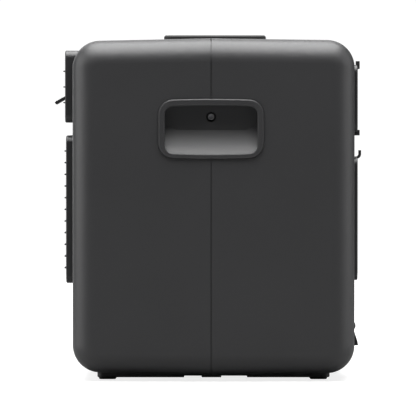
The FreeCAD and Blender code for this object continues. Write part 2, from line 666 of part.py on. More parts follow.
def exhaust_flange():
    """Upper flange, with lugs above and below it that hold the hot-air duct adapter."""
    lugs = []
    for x in (-36.0, 182.0):
        upper = box((x, x + 14), LUG_Y, (EXHAUST_Z[1] - 4, LUG_Z[1]))
        lower = box((x, x + 14), (136.0, LUG_Y[1]), (LUG_Z[0], EXHAUST_Z[0] + 2)).cut(half_body(1, 0))
        lugs += [lug.makeChamfer(0.4, edges_at(lug, lambda p: p.y > LUG_Y[1] - 0.1))
                 for lug in (upper, lower)]
    return fuse([duct_flange(EXHAUST_Z, EXHAUST_WINDOW_Z)] + lugs)


def inlet_flange():
    """Lower flange, with two J-hooks that the intake duct adapter hangs on."""
    hooks = [j_hook(x) for x in (-30.0, 176.0)]
    return fuse([duct_flange(INLET_Z, INLET_WINDOW_Z)] + hooks)


def j_hook(x):
    """A hook that leaves the top of the lower flange and curls up."""
    centre_y, centre_z, outer, inner, tip = 143.3, 221.2, 4.8, 2.5, 224.9
    mid = math.sqrt(0.5)
    edges = [
        Part.makeLine(V(x, centre_y - 1.5, centre_z - outer), V(x, centre_y, centre_z - outer)),
        Part.Arc(V(x, centre_y, centre_z - outer),
                 V(x, centre_y + outer * mid, centre_z - outer * mid),
                 V(x, centre_y + outer, centre_z)).toShape(),
        Part.makeLine(V(x, centre_y + outer, centre_z), V(x, centre_y + outer, tip)),
        Part.makeLine(V(x, centre_y + outer, tip), V(x, centre_y + inner, tip)),
        Part.makeLine(V(x, centre_y + inner, tip), V(x, centre_y + inner, centre_z)),
        Part.Arc(V(x, centre_y + inner, centre_z),
                 V(x, centre_y + inner * mid, centre_z - inner * mid),
                 V(x, centre_y, centre_z - inner)).toShape(),
        Part.makeLine(V(x, centre_y, centre_z - inner), V(x, centre_y - 1.5, centre_z - inner)),
        Part.makeLine(V(x, centre_y - 1.5, centre_z - inner), V(x, centre_y - 1.5, centre_z - outer)),
    ]
    return Part.Face(Part.Wire(edges)).extrude(V(14, 0, 0))


def rear_filter():
    """Dust filter behind the rear intake guard."""
    x, z, y = grow(DUCT_X, -0.3), grow(INLET_WINDOW_Z, -0.3), (127.2, 129.8)
    frame = ring_box(x, y, z, Y_AXIS, 4, (5.0, 5.0))
    mesh = box(grow(x, -3), (128.2, 128.8), grow(z, -3))
    return fuse([frame, mesh])


# ---------------------------------------------------------------- ports
def socket_panel():
    """Tray behind the power port cover that holds the sockets."""
    outer = rounded_box(grow(PORT_X, 0.1), (118.0, PORT_RIM), grow(PORT_Z, 0.1), Y_AXIS, 5)
    hollow = rounded_box(grow(PORT_X, -4), (SOCKET_BACK, 150), grow(PORT_Z, -4), Y_AXIS, 3)
    return outer.cut(hollow)


def ac_inlet():
    """Mains inlet body with its socket."""
    cx, cz = INLET_CENTRE
    body = rounded_box((cx - 14.2, cx + 14.2), (SOCKET_BACK, SOCKET_FACE), (cz - 10.6, cz + 10.6), Y_AXIS, 2)
    hollow = box((cx - 12, cx + 12), (SOCKET_BACK + 1, 140), (cz - 8, cz + 8))
    upper = [e for e in edges_along(hollow, Y_AXIS) if e.Vertexes[0].Z > cz]
    return body.cut(hollow.makeChamfer(4.0, upper))


def ac_inlet_pins():
    """Three blades of the mains inlet."""
    cx, cz = INLET_CENTRE
    places = ((cx - 7, cz - 2.0), (cx, cz + 2.0), (cx + 7, cz - 2.0))
    return Part.makeCompound([box((x - 1, x + 1), (SOCKET_BACK + 1, SOCKET_BACK + 5), (z - 2, z + 2))
                              for x, z in places])


def dc_jacks():
    """Two round low-voltage jacks with their centre pins."""
    jacks = []
    for x, z in JACK_CENTRES:
        barrel = rod((x, SOCKET_BACK, z), Y_AXIS, 7.0, SOCKET_FACE - SOCKET_BACK)
        barrel = barrel.cut(rod((x, SOCKET_BACK + 2, z), Y_AXIS, 4.2, 20))
        jacks.append(barrel.fuse(rod((x, SOCKET_BACK + 1, z), Y_AXIS, 1.2, 6.0)).removeSplitter())
    return Part.makeCompound(jacks)


def port_hinge():
    """Y and Z of the port cover's hinge line."""
    return PORT_RIM + PORT_GAP + PORT_COVER_T / 2, PORT_Z[1] - PORT_COVER_T / 2


def port_cover():
    """Hinged rubber cover of the power port, with a pull lip and a press stud dome."""
    y = (PORT_RIM + PORT_GAP, PORT_RIM + PORT_GAP + PORT_COVER_T)
    hinge_y, hinge_z = port_hinge()
    hinge_x = grow(PORT_X, -PORT_HINGE_INSET)
    shoulder = PORT_Z[1] - PORT_HINGE_INSET
    plate = rounded_box(PORT_X, y, (PORT_Z[0], shoulder), Y_AXIS, 5)
    neck = box(hinge_x, y, (shoulder - 3, hinge_z))
    knuckle = rod((hinge_x[0], hinge_y, hinge_z), X_AXIS, PORT_COVER_T / 2, hinge_x[1] - hinge_x[0])
    inset = PORT_X[0] + 4
    lip = prism([(inset, y[1] - 0.5, 46.3), (inset, y[1] + 0.3, 45.9), (inset, 144.2, 37.0),
                 (inset, 145.0, 32.9), (inset, y[1] - 0.5, 32.7)], V(PORT_X[1] - PORT_X[0] - 8, 0, 0))
    stud = Part.makeSphere(5.0, V(193.0, 137.7, 51.9)).common(box((180, 206), (y[1] - 0.5, 150), (40, 60)))
    return fuse([plate, neck, knuckle, lip, stud])


def drain_spout():
    """Drain stub from the pan through the rear shell, with a flange seated on the shell."""
    x, z = DRAIN
    flange = rod((x, DRAIN_FACE - 10, z), Y_AXIS, DRAIN_FLANGE_R, 10)
    flange = flange.makeFillet(1.0, edges_at(flange, lambda p: p.y > DRAIN_FACE - 1))
    flange = flange.cut(half_body(1, 0))
    tube = rod((x, PAN_Y, z), Y_AXIS, DRAIN_TUBE_R, DRAIN_FACE - 1 - PAN_Y)
    return flange.fuse(tube).cut(rod((x, 100, z), Y_AXIS, DRAIN_BORE_R, 60)).removeSplitter()


def drain_plug():
    """Rubber plug of the drain: ribbed stem, head and pull tab."""
    x, z = DRAIN
    seat = DRAIN_FACE + 0.05
    head = rod((x, seat, z), Y_AXIS, DRAIN_FLANGE_R - 2.0, 2.2)
    head = head.makeFillet(1.0, edges_at(head, lambda p: p.y > seat + 2.1))
    stem = rod((x, seat - 16, z), Y_AXIS, DRAIN_BORE_R - 0.5, 16.1)
    ribs = [rod((x, seat - d, z), Y_AXIS, DRAIN_BORE_R - 0.1, 1.2) for d in (5.0, 9.0, 13.0)]
    tab = rounded_box((x - 4, x + 4), (seat + 2.0, seat + 4.6), (z - 1.4, z + 1.4), Y_AXIS, 1.0)
    return fuse([head, stem, tab] + ribs)


# ---------------------------------------------------------------- inside: structure
def chassis():
    """Steel base plate that carries everything inside."""
    plate = box((-CHASSIS_X, CHASSIS_X), (-CHASSIS_Y, CHASSIS_Y), CHASSIS_Z)
    plate = plate.makeFillet(8, edges_along(plate, Z_AXIS))
    return plate.cut(tray_screw_holes(2.1))


def drip_pan():
    """Condensate pan under both coils, with an upright rim."""
    y = (-PAN_Y, PAN_Y)
    outer = rounded_box(PAN_X, y, (CHASSIS_Z[1], PAN_HIGH), Z_AXIS, 6)
    hollow = rounded_box(grow(PAN_X, -PAN_WALL), grow(y, -PAN_WALL),
                         (CHASSIS_Z[1] + PAN_WALL, PAN_HIGH + 5), Z_AXIS, 4.5)
    screws = [rod((x, y, 0), Z_AXIS, 4.0, 16) for x, y in tray_screw_places()]
    drain = rod((DRAIN[0], PAN_Y - 5, DRAIN[1]), Y_AXIS, DRAIN_BORE_R, 10)
    return outer.cut([hollow, drain] + screws)


def divider():
    """Insulated wall between the cold front half and the hot rear half."""
    low = CHASSIS_Z[1] + PAN_WALL
    wall = box((-91, PAN_X[1] - PAN_WALL), (-1.2, 1.2), (low, 340)).common(whole_body(WALL + 2.2))
    return wall.cut(box((-95, PAN_X[0] + PAN_WALL), (-5, 5), (0, PAN_HIGH)))


def compartment_wall():
    """Wall between the air side and the compressor side, with holes for the pipes."""
    wall = box((-94, -91), (-127, 134), (CHASSIS_Z[1], 340)).common(whole_body(WALL + 2.2))
    wall = wall.cut(box((-95, -90), (-150, BAND_BACK + 1), (240, 340)))
    holes = [rod((-100, y, z), X_AXIS, 6.0, 20) for y in (-LINE_Y, LINE_Y) for z in (LINE_HIGH, LINE_LOW)]
    return wall.cut(holes)


# ---------------------------------------------------------------- inside: air side
def coil(side):
    """Finned coil with end plates and return bends. side is -1 for the evaporator."""
    y = tuple(sorted((side * COIL_Y[0], side * COIL_Y[1])))
    pitch, slot, deep = 5.0, 3.4, 9.0
    fins = box(COIL_X, y, COIL_Z)
    count = int((COIL_X[1] - COIL_X[0]) / pitch)
    start = COIL_X[0] + (COIL_X[1] - COIL_X[0] - count * pitch) / 2
    grooves = []
    for i in range(count):
        low = start + i * pitch + (pitch - slot) / 2
        grooves.append(box((low, low + slot), (y[0] - 1, y[0] + deep), grow(COIL_Z, -4)))
        grooves.append(box((low, low + slot), (y[1] - deep, y[1] + 1), grow(COIL_Z, -4)))
    fins = fins.cut(grooves)
    plates = [box((x, x + 1.5), y, (CHASSIS_Z[1] + 1.5, COIL_Z[1] + 2)) for x in (COIL_X[0] - 1.5, COIL_X[1])]
    bends = []
    rows = (side * (LINE_Y + 11.0), side * LINE_Y)
    for row in rows:
        for i in range(4):
            bends.append(return_bend(COIL_X[1] + 1.5, row, LINE_LOW + 11 + 44 * i, 1))
        for i in range(3):
            bends.append(return_bend(COIL_X[0] - 1.5, row, LINE_LOW + 33 + 44 * i, -1))
    return fuse([fins] + plates + bends)


def return_bend(x, y, z, way):
    """Half a torus that joins two neighbouring tubes at a coil's end."""
    ring = Part.makeTorus(11.0, 3.6, V(x, y, z), Y_AXIS)
    keep = (x - 0.2, x + 20) if way > 0 else (x - 20, x + 0.2)
    return ring.common(box(keep, (y - 10, y + 10), (z - 30, z + 30)))


def scroll_solid(offset, y_low, depth):
    """Solid of the fan housing's outline, from y_low over depth."""
    points = []
    steps = 16
    for i in range(steps + 1):
        angle = math.radians(360.0 * i / steps)
        radius = 68.0 + 50.0 * i / steps + offset
        points.append(V(FAN_X + radius * math.cos(angle), y_low, FAN_Z + radius * math.sin(angle)))
    curve = Part.BSplineCurve()
    curve.interpolate(points)
    closing = Part.makeLine(points[-1], points[0])
    spiral = Part.Face(Part.Wire([curve.toShape(), closing])).extrude(V(0, depth, 0))
    mouth = box((FAN_X + 62.0 - offset, points[-1].x), (y_low, y_low + depth), (FAN_Z, 242.0))
    return spiral.fuse(mouth).removeSplitter()


def fan_housing(side):
    """Spiral housing round a fan wheel, open to the coil, the motor and the air box."""
    low, high = sorted((side * 10.0, side * 82.0))
    outer = scroll_solid(2.0, low, high - low)
    inner = scroll_solid(0.0, low + 2.0, high - low - 4.0)
    inner = inner.fuse(box((FAN_X + 62, FAN_X + 118), (low + 2, high - 2), (200, 260)))
    coil_hole = rod((FAN_X, side * 78.0, FAN_Z), V(0, side, 0), 50.0, 10.0)
    motor_hole = rod((FAN_X, side * 5.0, FAN_Z), V(0, side, 0), 43.0, 10.0)
    return outer.cut([inner, coil_hole, motor_hole])


def fan_wheel(side):
    """Forward-curved blower wheel with its hub and shaft."""
    out = V(0, side, 0)
    back = rod((FAN_X, side * 19.0, FAN_Z), out, WHEEL_R, 1.8)
    back = back.cut([rod((FAN_X + 34 * math.cos(a), side * 15, FAN_Z + 34 * math.sin(a)), out, 6, 10)
                     for a in [math.radians(60 * i) for i in range(6)]])
    ring = rod((FAN_X, side * 73.0, FAN_Z), out, WHEEL_R, 2.5).cut(
        rod((FAN_X, side * 72.0, FAN_Z), out, WHEEL_R - 9, 5))
    hub = rod((FAN_X, side * 19.5, FAN_Z), out, 9.0, 14.0)
    shaft = rod((FAN_X, side * 3.0, FAN_Z), out, 3.0, 34.0)
    low = min(side * 19.5, side * 74.0)
    blades = []
    count = 32
    for i in range(count):
        blade = Part.makeBox(9.5, 54.5, 1.2, V(WHEEL_R - 10.2, low, -0.6))
        blade.rotate(V(WHEEL_R - 5, 0, 0), Y_AXIS, 28)
        blade.rotate(V(0, 0, 0), Y_AXIS, 360.0 * i / count)
        blade.translate(V(FAN_X, 0, FAN_Z))
        blades.append(blade)
    return fuse([back, ring, hub, shaft] + blades)


def fan_motor(side):
    """Flat fan motor on the divider, bored for the shaft."""
    out = V(0, side, 0)
    can = rod((FAN_X, side * 1.2, FAN_Z), out, 40.0, 15.0)
    can = can.makeFillet(2.5, edges_at(can, lambda p: abs(p.y) > 16))
    boss = rod((FAN_X, side * 16.0, FAN_Z), out, 8.0, 1.8)
    return can.fuse(boss).cut(rod((FAN_X, side * 1.0, FAN_Z), out, 3.06, 20.0))


# ---------------------------------------------------------------- inside: compressor side
def compressor():
    """Hermetic compressor: domed can, foot plate, terminal cover and discharge stub."""
    x, y = COMPRESSOR
    low, high = COMPRESSOR_Z
    can = rod((x, y, low), Z_AXIS, COMPRESSOR_R, high - low)
    can = can.makeFillet(16, edges_at(can, lambda p: p.z < low + 1 or p.z > high - 1))
    feet = []
    for i in range(3):
        arm = box((-14, 58), (-13, 13), (0, 3))
        arm = arm.makeFillet(9, [e for e in edges_along(arm, Z_AXIS) if e.Vertexes[0].X > 0])
        arm.rotate(V(0, 0, 0), Z_AXIS, 90 + 120 * i)
        arm.translate(V(x, y, low - 1))
        grommet = compressor_foot(i)
        feet.append(arm.cut(rod((grommet[0], grommet[1], 0), Z_AXIS, 5.2, 60)))
    cap = rounded_box((x - 46, x - 20), (y - 14, y + 14), (150, 195), Z_AXIS, 5)
    stub = rod((x, y + 12, high - 4), Z_AXIS, 4.5, 5)
    return fuse([can, cap, stub] + feet)


def compressor_foot(index):
    """X and Y of a compressor mount."""
    angle = math.radians(90 + 120 * index)
    return COMPRESSOR[0] + 50 * math.cos(angle), COMPRESSOR[1] + 50 * math.sin(angle)


def compressor_mounts():
    """Rubber grommets that the compressor stands on."""
    grommets = []
    low = COMPRESSOR_Z[0] - 1
    for i in range(3):
        x, y = compressor_foot(i)
        body = rod((x, y, CHASSIS_Z[1]), Z_AXIS, 8.0, low - CHASSIS_Z[1])
        neck = rod((x, y, low - 0.5), Z_AXIS, 5.0, 4.0)
        cap = rod((x, y, low + 3.2), Z_AXIS, 7.0, 2.6)
        groove = Part.makeTorus(9.2, 2.6, V(x, y, 22.0), Z_AXIS)
        grommets.append(body.cut(groove).fuse([neck, cap]).removeSplitter())
    return Part.makeCompound(grommets)


def accumulator():
    """Suction accumulator beside the compressor."""
    tank = rod((-150, -74, 66), Z_AXIS, 20.0, 100.0)
    tank = tank.makeFillet(9, edges_at(tank, lambda p: p.z < 67 or p.z > 165))
    strap = rod((-150, -74, 108), Z_AXIS, 21.2, 12.0)
    arm = box((-160, -140), (-58, -45), (108, 120))
    stub = rod((-150, -74, 165), Z_AXIS, 5.0, 6.0)
    outlet = pipe([(-150, -74, 67), (-150, -74, 48), (-150, -40.5, 48)], 4.0, 9.0)
    body = fuse([tank, strap, arm, stub, outlet])
    return body.cut(rod((COMPRESSOR[0], COMPRESSOR[1], 0), Z_AXIS, COMPRESSOR_R + 0.2, 240))


def suction_line():
    """Copper pipe from the evaporator to the accumulator."""
    return pipe([(COIL_X[0] - 1.6, -LINE_Y, LINE_HIGH), (-150, -LINE_Y, LINE_HIGH),
                 (-150, -74, LINE_HIGH), (-150, -74, 171.1)], 4.5, 11.0)


def discharge_line():
    """Copper pipe from the compressor to the condenser."""
    x, y = COMPRESSOR
    return pipe([(x, y + 12, COMPRESSOR_Z[1] + 1.1), (x, y + 12, 226), (x, LINE_Y, 226),
                 (x, LINE_Y, LINE_HIGH), (COIL_X[0] - 1.6, LINE_Y, LINE_HIGH)], 3.6, 10.0)


def liquid_line():
    """Thin copper pipe from the condenser back to the evaporator."""
    return pipe([(COIL_X[0] - 1.6, LINE_Y, LINE_LOW), (-101, LINE_Y, LINE_LOW),
                 (-101, -LINE_Y, LINE_LOW), (COIL_X[0] - 1.6, -LINE_Y, LINE_LOW)], 2.5, 8.0)


def electronics_tray():
    """Shelf over the compressor, with standoffs for the main board."""
    shelf = box((-210, -94.2), (-90, 96), (238, 240))
    rim = shelf.fuse([box((-210, -208), (-90, 96), (238, 247)), box((-96.2, -94.2), (-90, 96), (238, 247))])
    posts = [rod((x, y, 239), Z_AXIS, 4.0, BOARD_Z - 239) for x, y in board_posts()]
    return rim.fuse(posts).removeSplitter()


def board_posts():
    """Centres of the main board's standoffs."""
    return [(x, y) for x in (-197.0, -107.0) for y in (-78.0, 84.0)]


def main_board():
    """Power board with its larger components."""
    board = box((-203, -101), (-85, 91), (BOARD_Z, BOARD_Z + 1.6))
    top = BOARD_Z + 1.6
    parts = [rod((-190 + 17 * i, -62, top), Z_AXIS, 7.0, 28.0) for i in range(4)]
    parts += [box((-196, -166), (-40, -10), (top, top + 22)), box((-150, -112), (-40, -6), (top, top + 18)),
              box((-196, -180), (60, 84), (top, top + 14)), box((-140, -110), (66, 84), (top, top + 12))]
    return fuse([board] + parts)


def heat_sink():
    """Aluminium heat sink of the compressor drive."""
    base = box((-190, -114), (4, 56), (BOARD_Z + 1.6, BOARD_Z + 8))
    fins = [box((x, x + 1.6), (4, 56), (BOARD_Z + 7, BOARD_Z + 34))
            for x in [-190 + 7.44 * i for i in range(11)]]
    return fuse([base] + fins)


# ---------------------------------------------------------------- write everything
def all_parts():
    """Every node's name and shape."""
    right_cup = cup_right()
    parts = {
        "front_shell": front_shell(),
        "rear_shell": rear_shell(),
        "base_tray": base_tray(),
        "rubber_feet": Part.makeCompound([foot_solid(x, y, 0) for x, y in foot_places()]),
        "tray_screws": tray_screws(),
        "top_pad": top_pad(),
        "handle_cup_right": right_cup,
        "handle_cup_left": mirrored(right_cup, X_AXIS),
        "handle_screws": both_ends(cup_screw_right()),
        "handle_brackets": both_ends(bracket_right()),
        "outlet_frame": outlet_frame(),
        "outlet_fins": outlet_fins(),
        "vane_link": vane_link(),
        "outlet_air_box": plenum(-1, OUTLET_X, OUTLET_Z, -BAND_BACK - 0.5),
        "control_fascia": control_fascia(),
        "display_window": display_window(),
        "display_module": display_module(),
        "control_board": control_board(),
        "front_intake_cover": intake_cover(),
        "front_filter": front_filter(),
        "exhaust_flange": exhaust_flange(),
        "rear_intake_flange": inlet_flange(),
        "rear_filter": rear_filter(),
        "exhaust_air_box": plenum(1, DUCT_X, EXHAUST_WINDOW_Z, THROAT_BACK - 0.5),
        "socket_panel": socket_panel(),
        "ac_inlet": ac_inlet(),
        "ac_inlet_pins": ac_inlet_pins(),
        "dc_jacks": dc_jacks(),
        "port_cover": port_cover(),
        "drain_spout": drain_spout(),
        "drain_plug": drain_plug(),
        "chassis": chassis(),
        "drip_pan": drip_pan(),
        "divider": divider(),
        "compartment_wall": compartment_wall(),
        "evaporator": coil(-1),
        "condenser": coil(1),
        "evaporator_fan_housing": fan_housing(-1),
        "evaporator_fan_wheel": fan_wheel(-1),
        "condenser_fan_housing": fan_housing(1),
        "condenser_fan_wheel": fan_wheel(1),
        "fan_motors": Part.makeCompound([fan_motor(-1), fan_motor(1)]),
        "compressor": compressor(),
        "compressor_mounts": compressor_mounts(),
        "accumulator": accumulator(),
        "suction_line": suction_line(),
        "discharge_line": discharge_line(),
        "liquid_line": liquid_line(),
        "electronics_tray": electronics_tray(),
        "main_board": main_board(),
        "heat_sink": heat_sink(),
    }
    for number in (1, 2, 3, 4):
        parts[f"outlet_vane_{number}"] = vane(number)
    for index, name in enumerate(BUTTON_NAMES):
        parts[name] = button(index)
    return parts


def main():
    """Builds and writes each node, and prints its state."""
    os.makedirs("parts", exist_ok=True)
    for old in os.listdir("parts"):
        os.remove(os.path.join("parts", old))
    for name, shape in all_parts().items():
        bounds = shape.optimalBoundingBox(False)
        print(f"{name:24s} solids {len(shape.Solids):2d} valid {shape.isValid()} "
              f"volume {shape.Volume / 1000:9.2f} cm3  "
              f"x {bounds.XMin:7.1f} {bounds.XMax:7.1f}  y {bounds.YMin:7.1f} {bounds.YMax:7.1f}  "
              f"z {bounds.ZMin:7.1f} {bounds.ZMax:7.1f}")
        shape.exportStep(f"parts/{name}.step")


main()
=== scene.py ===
"""The looks of a portable box air conditioner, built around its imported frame.

Every place comes from the frame. Lengths are in metres, the front faces -Y, the
rear with the duct flanges faces +Y, and +Z is up.
"""

import json
import logging
import math
from dataclasses import dataclass, field
from enum import Enum
from typing import Callable, ClassVar, Iterable, Sequence

import bpy
from mathutils import Matrix, Vector


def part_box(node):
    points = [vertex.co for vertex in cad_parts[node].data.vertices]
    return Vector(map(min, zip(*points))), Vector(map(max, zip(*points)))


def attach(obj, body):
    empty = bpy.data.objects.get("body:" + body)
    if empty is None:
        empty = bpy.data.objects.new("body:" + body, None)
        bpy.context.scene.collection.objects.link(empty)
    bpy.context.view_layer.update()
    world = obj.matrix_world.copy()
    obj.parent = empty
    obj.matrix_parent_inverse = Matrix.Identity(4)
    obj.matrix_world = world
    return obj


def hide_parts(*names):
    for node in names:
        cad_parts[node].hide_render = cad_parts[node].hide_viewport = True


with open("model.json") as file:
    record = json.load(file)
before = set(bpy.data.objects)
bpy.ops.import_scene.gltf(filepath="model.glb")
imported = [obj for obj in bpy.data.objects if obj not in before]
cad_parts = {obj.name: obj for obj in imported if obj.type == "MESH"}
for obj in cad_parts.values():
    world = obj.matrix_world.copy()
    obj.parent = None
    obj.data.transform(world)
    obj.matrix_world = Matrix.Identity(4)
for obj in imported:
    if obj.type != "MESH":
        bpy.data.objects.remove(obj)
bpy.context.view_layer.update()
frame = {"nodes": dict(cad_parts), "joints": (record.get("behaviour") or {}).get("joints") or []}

LOG = logging.getLogger("air_conditioner")
MM = 0.001
Colour = tuple[float, float, float]
Point = tuple[float, float, float]


# ---------------------------------------------------------------- finishes
class Weave(Enum):
    """How a bump pattern is laid over a surface."""

    SPARKED = "sparked"
    BRUSHED = "brushed"
    CAST = "cast"


class NodeTree:
    """One material's node tree, with short calls for the nodes that a finish needs."""

    def __init__(self, name: str) -> None:
        """Starts an empty node material.

        Args:
            name: The material's name.
        """
        self.material = bpy.data.materials.new(name)
        self.material.use_nodes = True
        self.tree = self.material.node_tree
        self.shader = self.tree.nodes["Principled BSDF"]
        self.place = self.tree.nodes.new("ShaderNodeTexCoord").outputs["Object"]

    def link(self, source: bpy.types.NodeSocket, target: bpy.types.NodeSocket) -> None:
        """Joins two sockets."""
        self.tree.links.new(source, target)

    def constant(self, socket: str, value: float | Sequence[float]) -> None:
        """Sets a value that is the same all over the surface."""
        self.shader.inputs[socket].default_value = value

    def stretched(self, scale: Point) -> bpy.types.NodeSocket:
        """Object coordinates stretched along the axes.

        Args:
            scale: The factor along X, Y and Z.

        Returns:
            The socket that carries the stretched coordinates.
        """
        mapping = self.tree.nodes.new("ShaderNodeMapping")
        mapping.inputs["Scale"].default_value = scale
        self.link(self.place, mapping.inputs["Vector"])
        return mapping.outputs["Vector"]

    def noise(self, scale: float, detail: float = 2.0,
              vector: bpy.types.NodeSocket | None = None) -> bpy.types.NodeSocket:
        """Fractal noise in space.

        Args:
            scale: Waves in a metre.
            detail: How many finer layers it has.
            vector: The coordinates it reads, or None for the object's own.

        Returns:
            The socket that carries the noise, from 0 to 1.
        """
        noise = self.tree.nodes.new("ShaderNodeTexNoise")
        noise.inputs["Scale"].default_value = scale
        noise.inputs["Detail"].default_value = detail
        self.link(vector or self.place, noise.inputs["Vector"])
        return noise.outputs["Fac"]

    def remap(self, value: bpy.types.NodeSocket, low: float, high: float,
              start: float = 0.3, end: float = 0.7) -> bpy.types.NodeSocket:
        """Turns a span of a value into another span.

        Args:
            value: The value that is read.
            low: What start becomes.
            high: What end becomes.
            start: Where the read span starts.
            end: Where the read span ends.

        Returns:
            The socket that carries the new value.
        """
        remap = self.tree.nodes.new("ShaderNodeMapRange")
        for socket, number in zip(("From Min", "From Max", "To Min", "To Max"), (start, end, low, high)):
            remap.inputs[socket].default_value = number
        self.link(value, remap.inputs["Value"])
        return remap.outputs["Result"]

    def tinted(self, factor: bpy.types.NodeSocket, dark: Colour, light: Colour) -> bpy.types.NodeSocket:
        """Mixes two colours.

        Args:
            factor: 0 gives dark and 1 gives light.
            dark: The first colour.
            light: The second colour.

        Returns:
            The socket that carries the mixed colour.
        """
        mix = self.tree.nodes.new("ShaderNodeMix")
        mix.data_type = "RGBA"
        mix.inputs["A"].default_value = (*dark, 1.0)
        mix.inputs["B"].default_value = (*light, 1.0)
        self.link(factor, mix.inputs["Factor"])
        return mix.outputs["Result"]

    def bump(self, heights: Sequence[tuple[bpy.types.NodeSocket, float]]) -> None:
        """Raises the surface by one or more height patterns.

        Args:
            heights: Each pattern with its depth in metres.
        """
        normal = None
        for height, depth in heights:
            bump = self.tree.nodes.new("ShaderNodeBump")
            bump.inputs["Strength"].default_value = 1.0
            bump.inputs["Distance"].default_value = depth
            self.link(height, bump.inputs["Height"])
            if normal is not None:
                self.link(normal, bump.inputs["Normal"])
            normal = bump.outputs["Normal"]
        self.link(normal, self.shader.inputs["Normal"])


@dataclass(frozen=True)
class MouldedPlastic:
    """Injection-moulded plastic with a spark-eroded texture and a slight mould bloom."""

    name: str
    colour: Colour
    roughness: float = 0.5
    grain: float = 1500.0
    depth: float = 0.00003
    bloom: float = 0.05

    def material(self) -> bpy.types.Material:
        """Builds the node material.

        Returns:
            The material.
        """
        nodes = NodeTree(self.name)
        cloud = nodes.noise(14.0, 3.0)
        dark = tuple(c * (1.0 - self.bloom) for c in self.colour)
        light = tuple(c * (1.0 + self.bloom) for c in self.colour)
        nodes.link(nodes.tinted(nodes.remap(cloud, 0.0, 1.0), dark, light), nodes.shader.inputs["Base Color"])
        sparks = nodes.noise(self.grain, 2.0)
        rough = nodes.remap(nodes.noise(self.grain * 0.4, 2.0),
                            self.roughness - 0.04, self.roughness + 0.04)
        nodes.link(rough, nodes.shader.inputs["Roughness"])
        nodes.bump([(sparks, self.depth)])
        return nodes.material


@dataclass(frozen=True)
class SoftRubber:
    """Dusty matte rubber with a fine pebble."""

    name: str
    colour: Colour
    pebble: float = 900.0

    def material(self) -> bpy.types.Material:
        """Builds the node material.

        Returns:
            The material.
        """
        nodes = NodeTree(self.name)
        dust = nodes.remap(nodes.noise(60.0, 4.0), 0.0, 1.0, 0.45, 0.75)
        dusty = tuple(c * 1.5 + 0.003 for c in self.colour)
        nodes.link(nodes.tinted(dust, self.colour, dusty), nodes.shader.inputs["Base Color"])
        nodes.link(nodes.remap(dust, 0.66, 0.82, 0.0, 1.0), nodes.shader.inputs["Roughness"])
        nodes.constant("Specular IOR Level", 0.35)
        nodes.bump([(nodes.noise(self.pebble, 1.0), 0.00005)])
        return nodes.material


@dataclass(frozen=True)
class Metal:
    """Bare or coated metal, brushed, cast or plain drawn."""

    name: str
    colour: Colour
    roughness: float = 0.32
    weave: Weave = Weave.BRUSHED
    metallic: float = 1.0

    def material(self) -> bpy.types.Material:
        """Builds the node material.

        Returns:
            The material.
        """
        nodes = NodeTree(self.name)
        stretch = {Weave.BRUSHED: (6.0, 90.0, 900.0), Weave.SPARKED: (300.0, 300.0, 300.0),
                   Weave.CAST: (120.0, 120.0, 120.0)}[self.weave]
        streak = nodes.noise(4.0, 3.0, nodes.stretched(stretch))
        stain = nodes.noise(22.0, 4.0)
        dull = tuple(c * 0.78 for c in self.colour)
        nodes.link(nodes.tinted(nodes.remap(stain, 0.0, 1.0), dull, self.colour),
                   nodes.shader.inputs["Base Color"])
        nodes.constant("Metallic", self.metallic)
        nodes.link(nodes.remap(streak, self.roughness - 0.07, self.roughness + 0.09),
                   nodes.shader.inputs["Roughness"])
        nodes.bump([(streak, 0.00001)])
        return nodes.material


@dataclass(frozen=True)
class TintedGlass:
    """Smoked clear plastic, faintly smeared."""

    name: str
    colour: Colour

    def material(self) -> bpy.types.Material:
        """Builds the node material.

        Returns:
            The material.
        """
        nodes = NodeTree(self.name)
        smear = nodes.noise(40.0, 5.0, nodes.stretched((1.0, 1.0, 3.0)))
        nodes.constant("Base Color", (*self.colour, 1.0))
        nodes.constant("Alpha", 0.55)
        nodes.constant("Coat Weight", 0.6)
        nodes.constant("Coat Roughness", 0.04)
        nodes.link(nodes.remap(smear, 0.05, 0.14), nodes.shader.inputs["Roughness"])
        return nodes.material


@dataclass(frozen=True)
class LitSegment:
    """Glowing display segment with a soft unevenness."""

    name: str
    colour: Colour
    strength: float = 1.6

    def material(self) -> bpy.types.Material:
        """Builds the node material.

        Returns:
            The material.
        """
        nodes = NodeTree(self.name)
        pool = nodes.remap(nodes.noise(260.0, 1.0), 0.0, 1.0)
        dim = tuple(c * 0.8 for c in self.colour)
        nodes.link(nodes.tinted(pool, dim, self.colour), nodes.shader.inputs["Emission Color"])
        nodes.constant("Base Color", (*dim, 1.0))
        nodes.constant("Emission Strength", self.strength)
        nodes.constant("Roughness", 0.4)
        return nodes.material


@dataclass(frozen=True)
class SolderMask:
    """Circuit board lacquer over etched copper tracks."""

    name: str
    colour: Colour

    def material(self) -> bpy.types.Material:
        """Builds the node material.

        Returns:
            The material.
        """
        nodes = NodeTree(self.name)
        cells = nodes.tree.nodes.new("ShaderNodeTexVoronoi")
        cells.distance = "CHEBYCHEV"
        cells.feature = "DISTANCE_TO_EDGE"
        cells.inputs["Scale"].default_value = 260.0
        nodes.link(nodes.place, cells.inputs["Vector"])
        tracks = nodes.remap(cells.outputs["Distance"], 1.0, 0.0, 0.02, 0.09)
        bright = tuple(min(1.0, c * 2.1 + 0.02) for c in self.colour)
        nodes.link(nodes.tinted(tracks, self.colour, bright), nodes.shader.inputs["Base Color"])
        nodes.link(nodes.remap(nodes.noise(90.0), 0.28, 0.42), nodes.shader.inputs["Roughness"])
        nodes.bump([(tracks, 0.00003)])
        return nodes.material


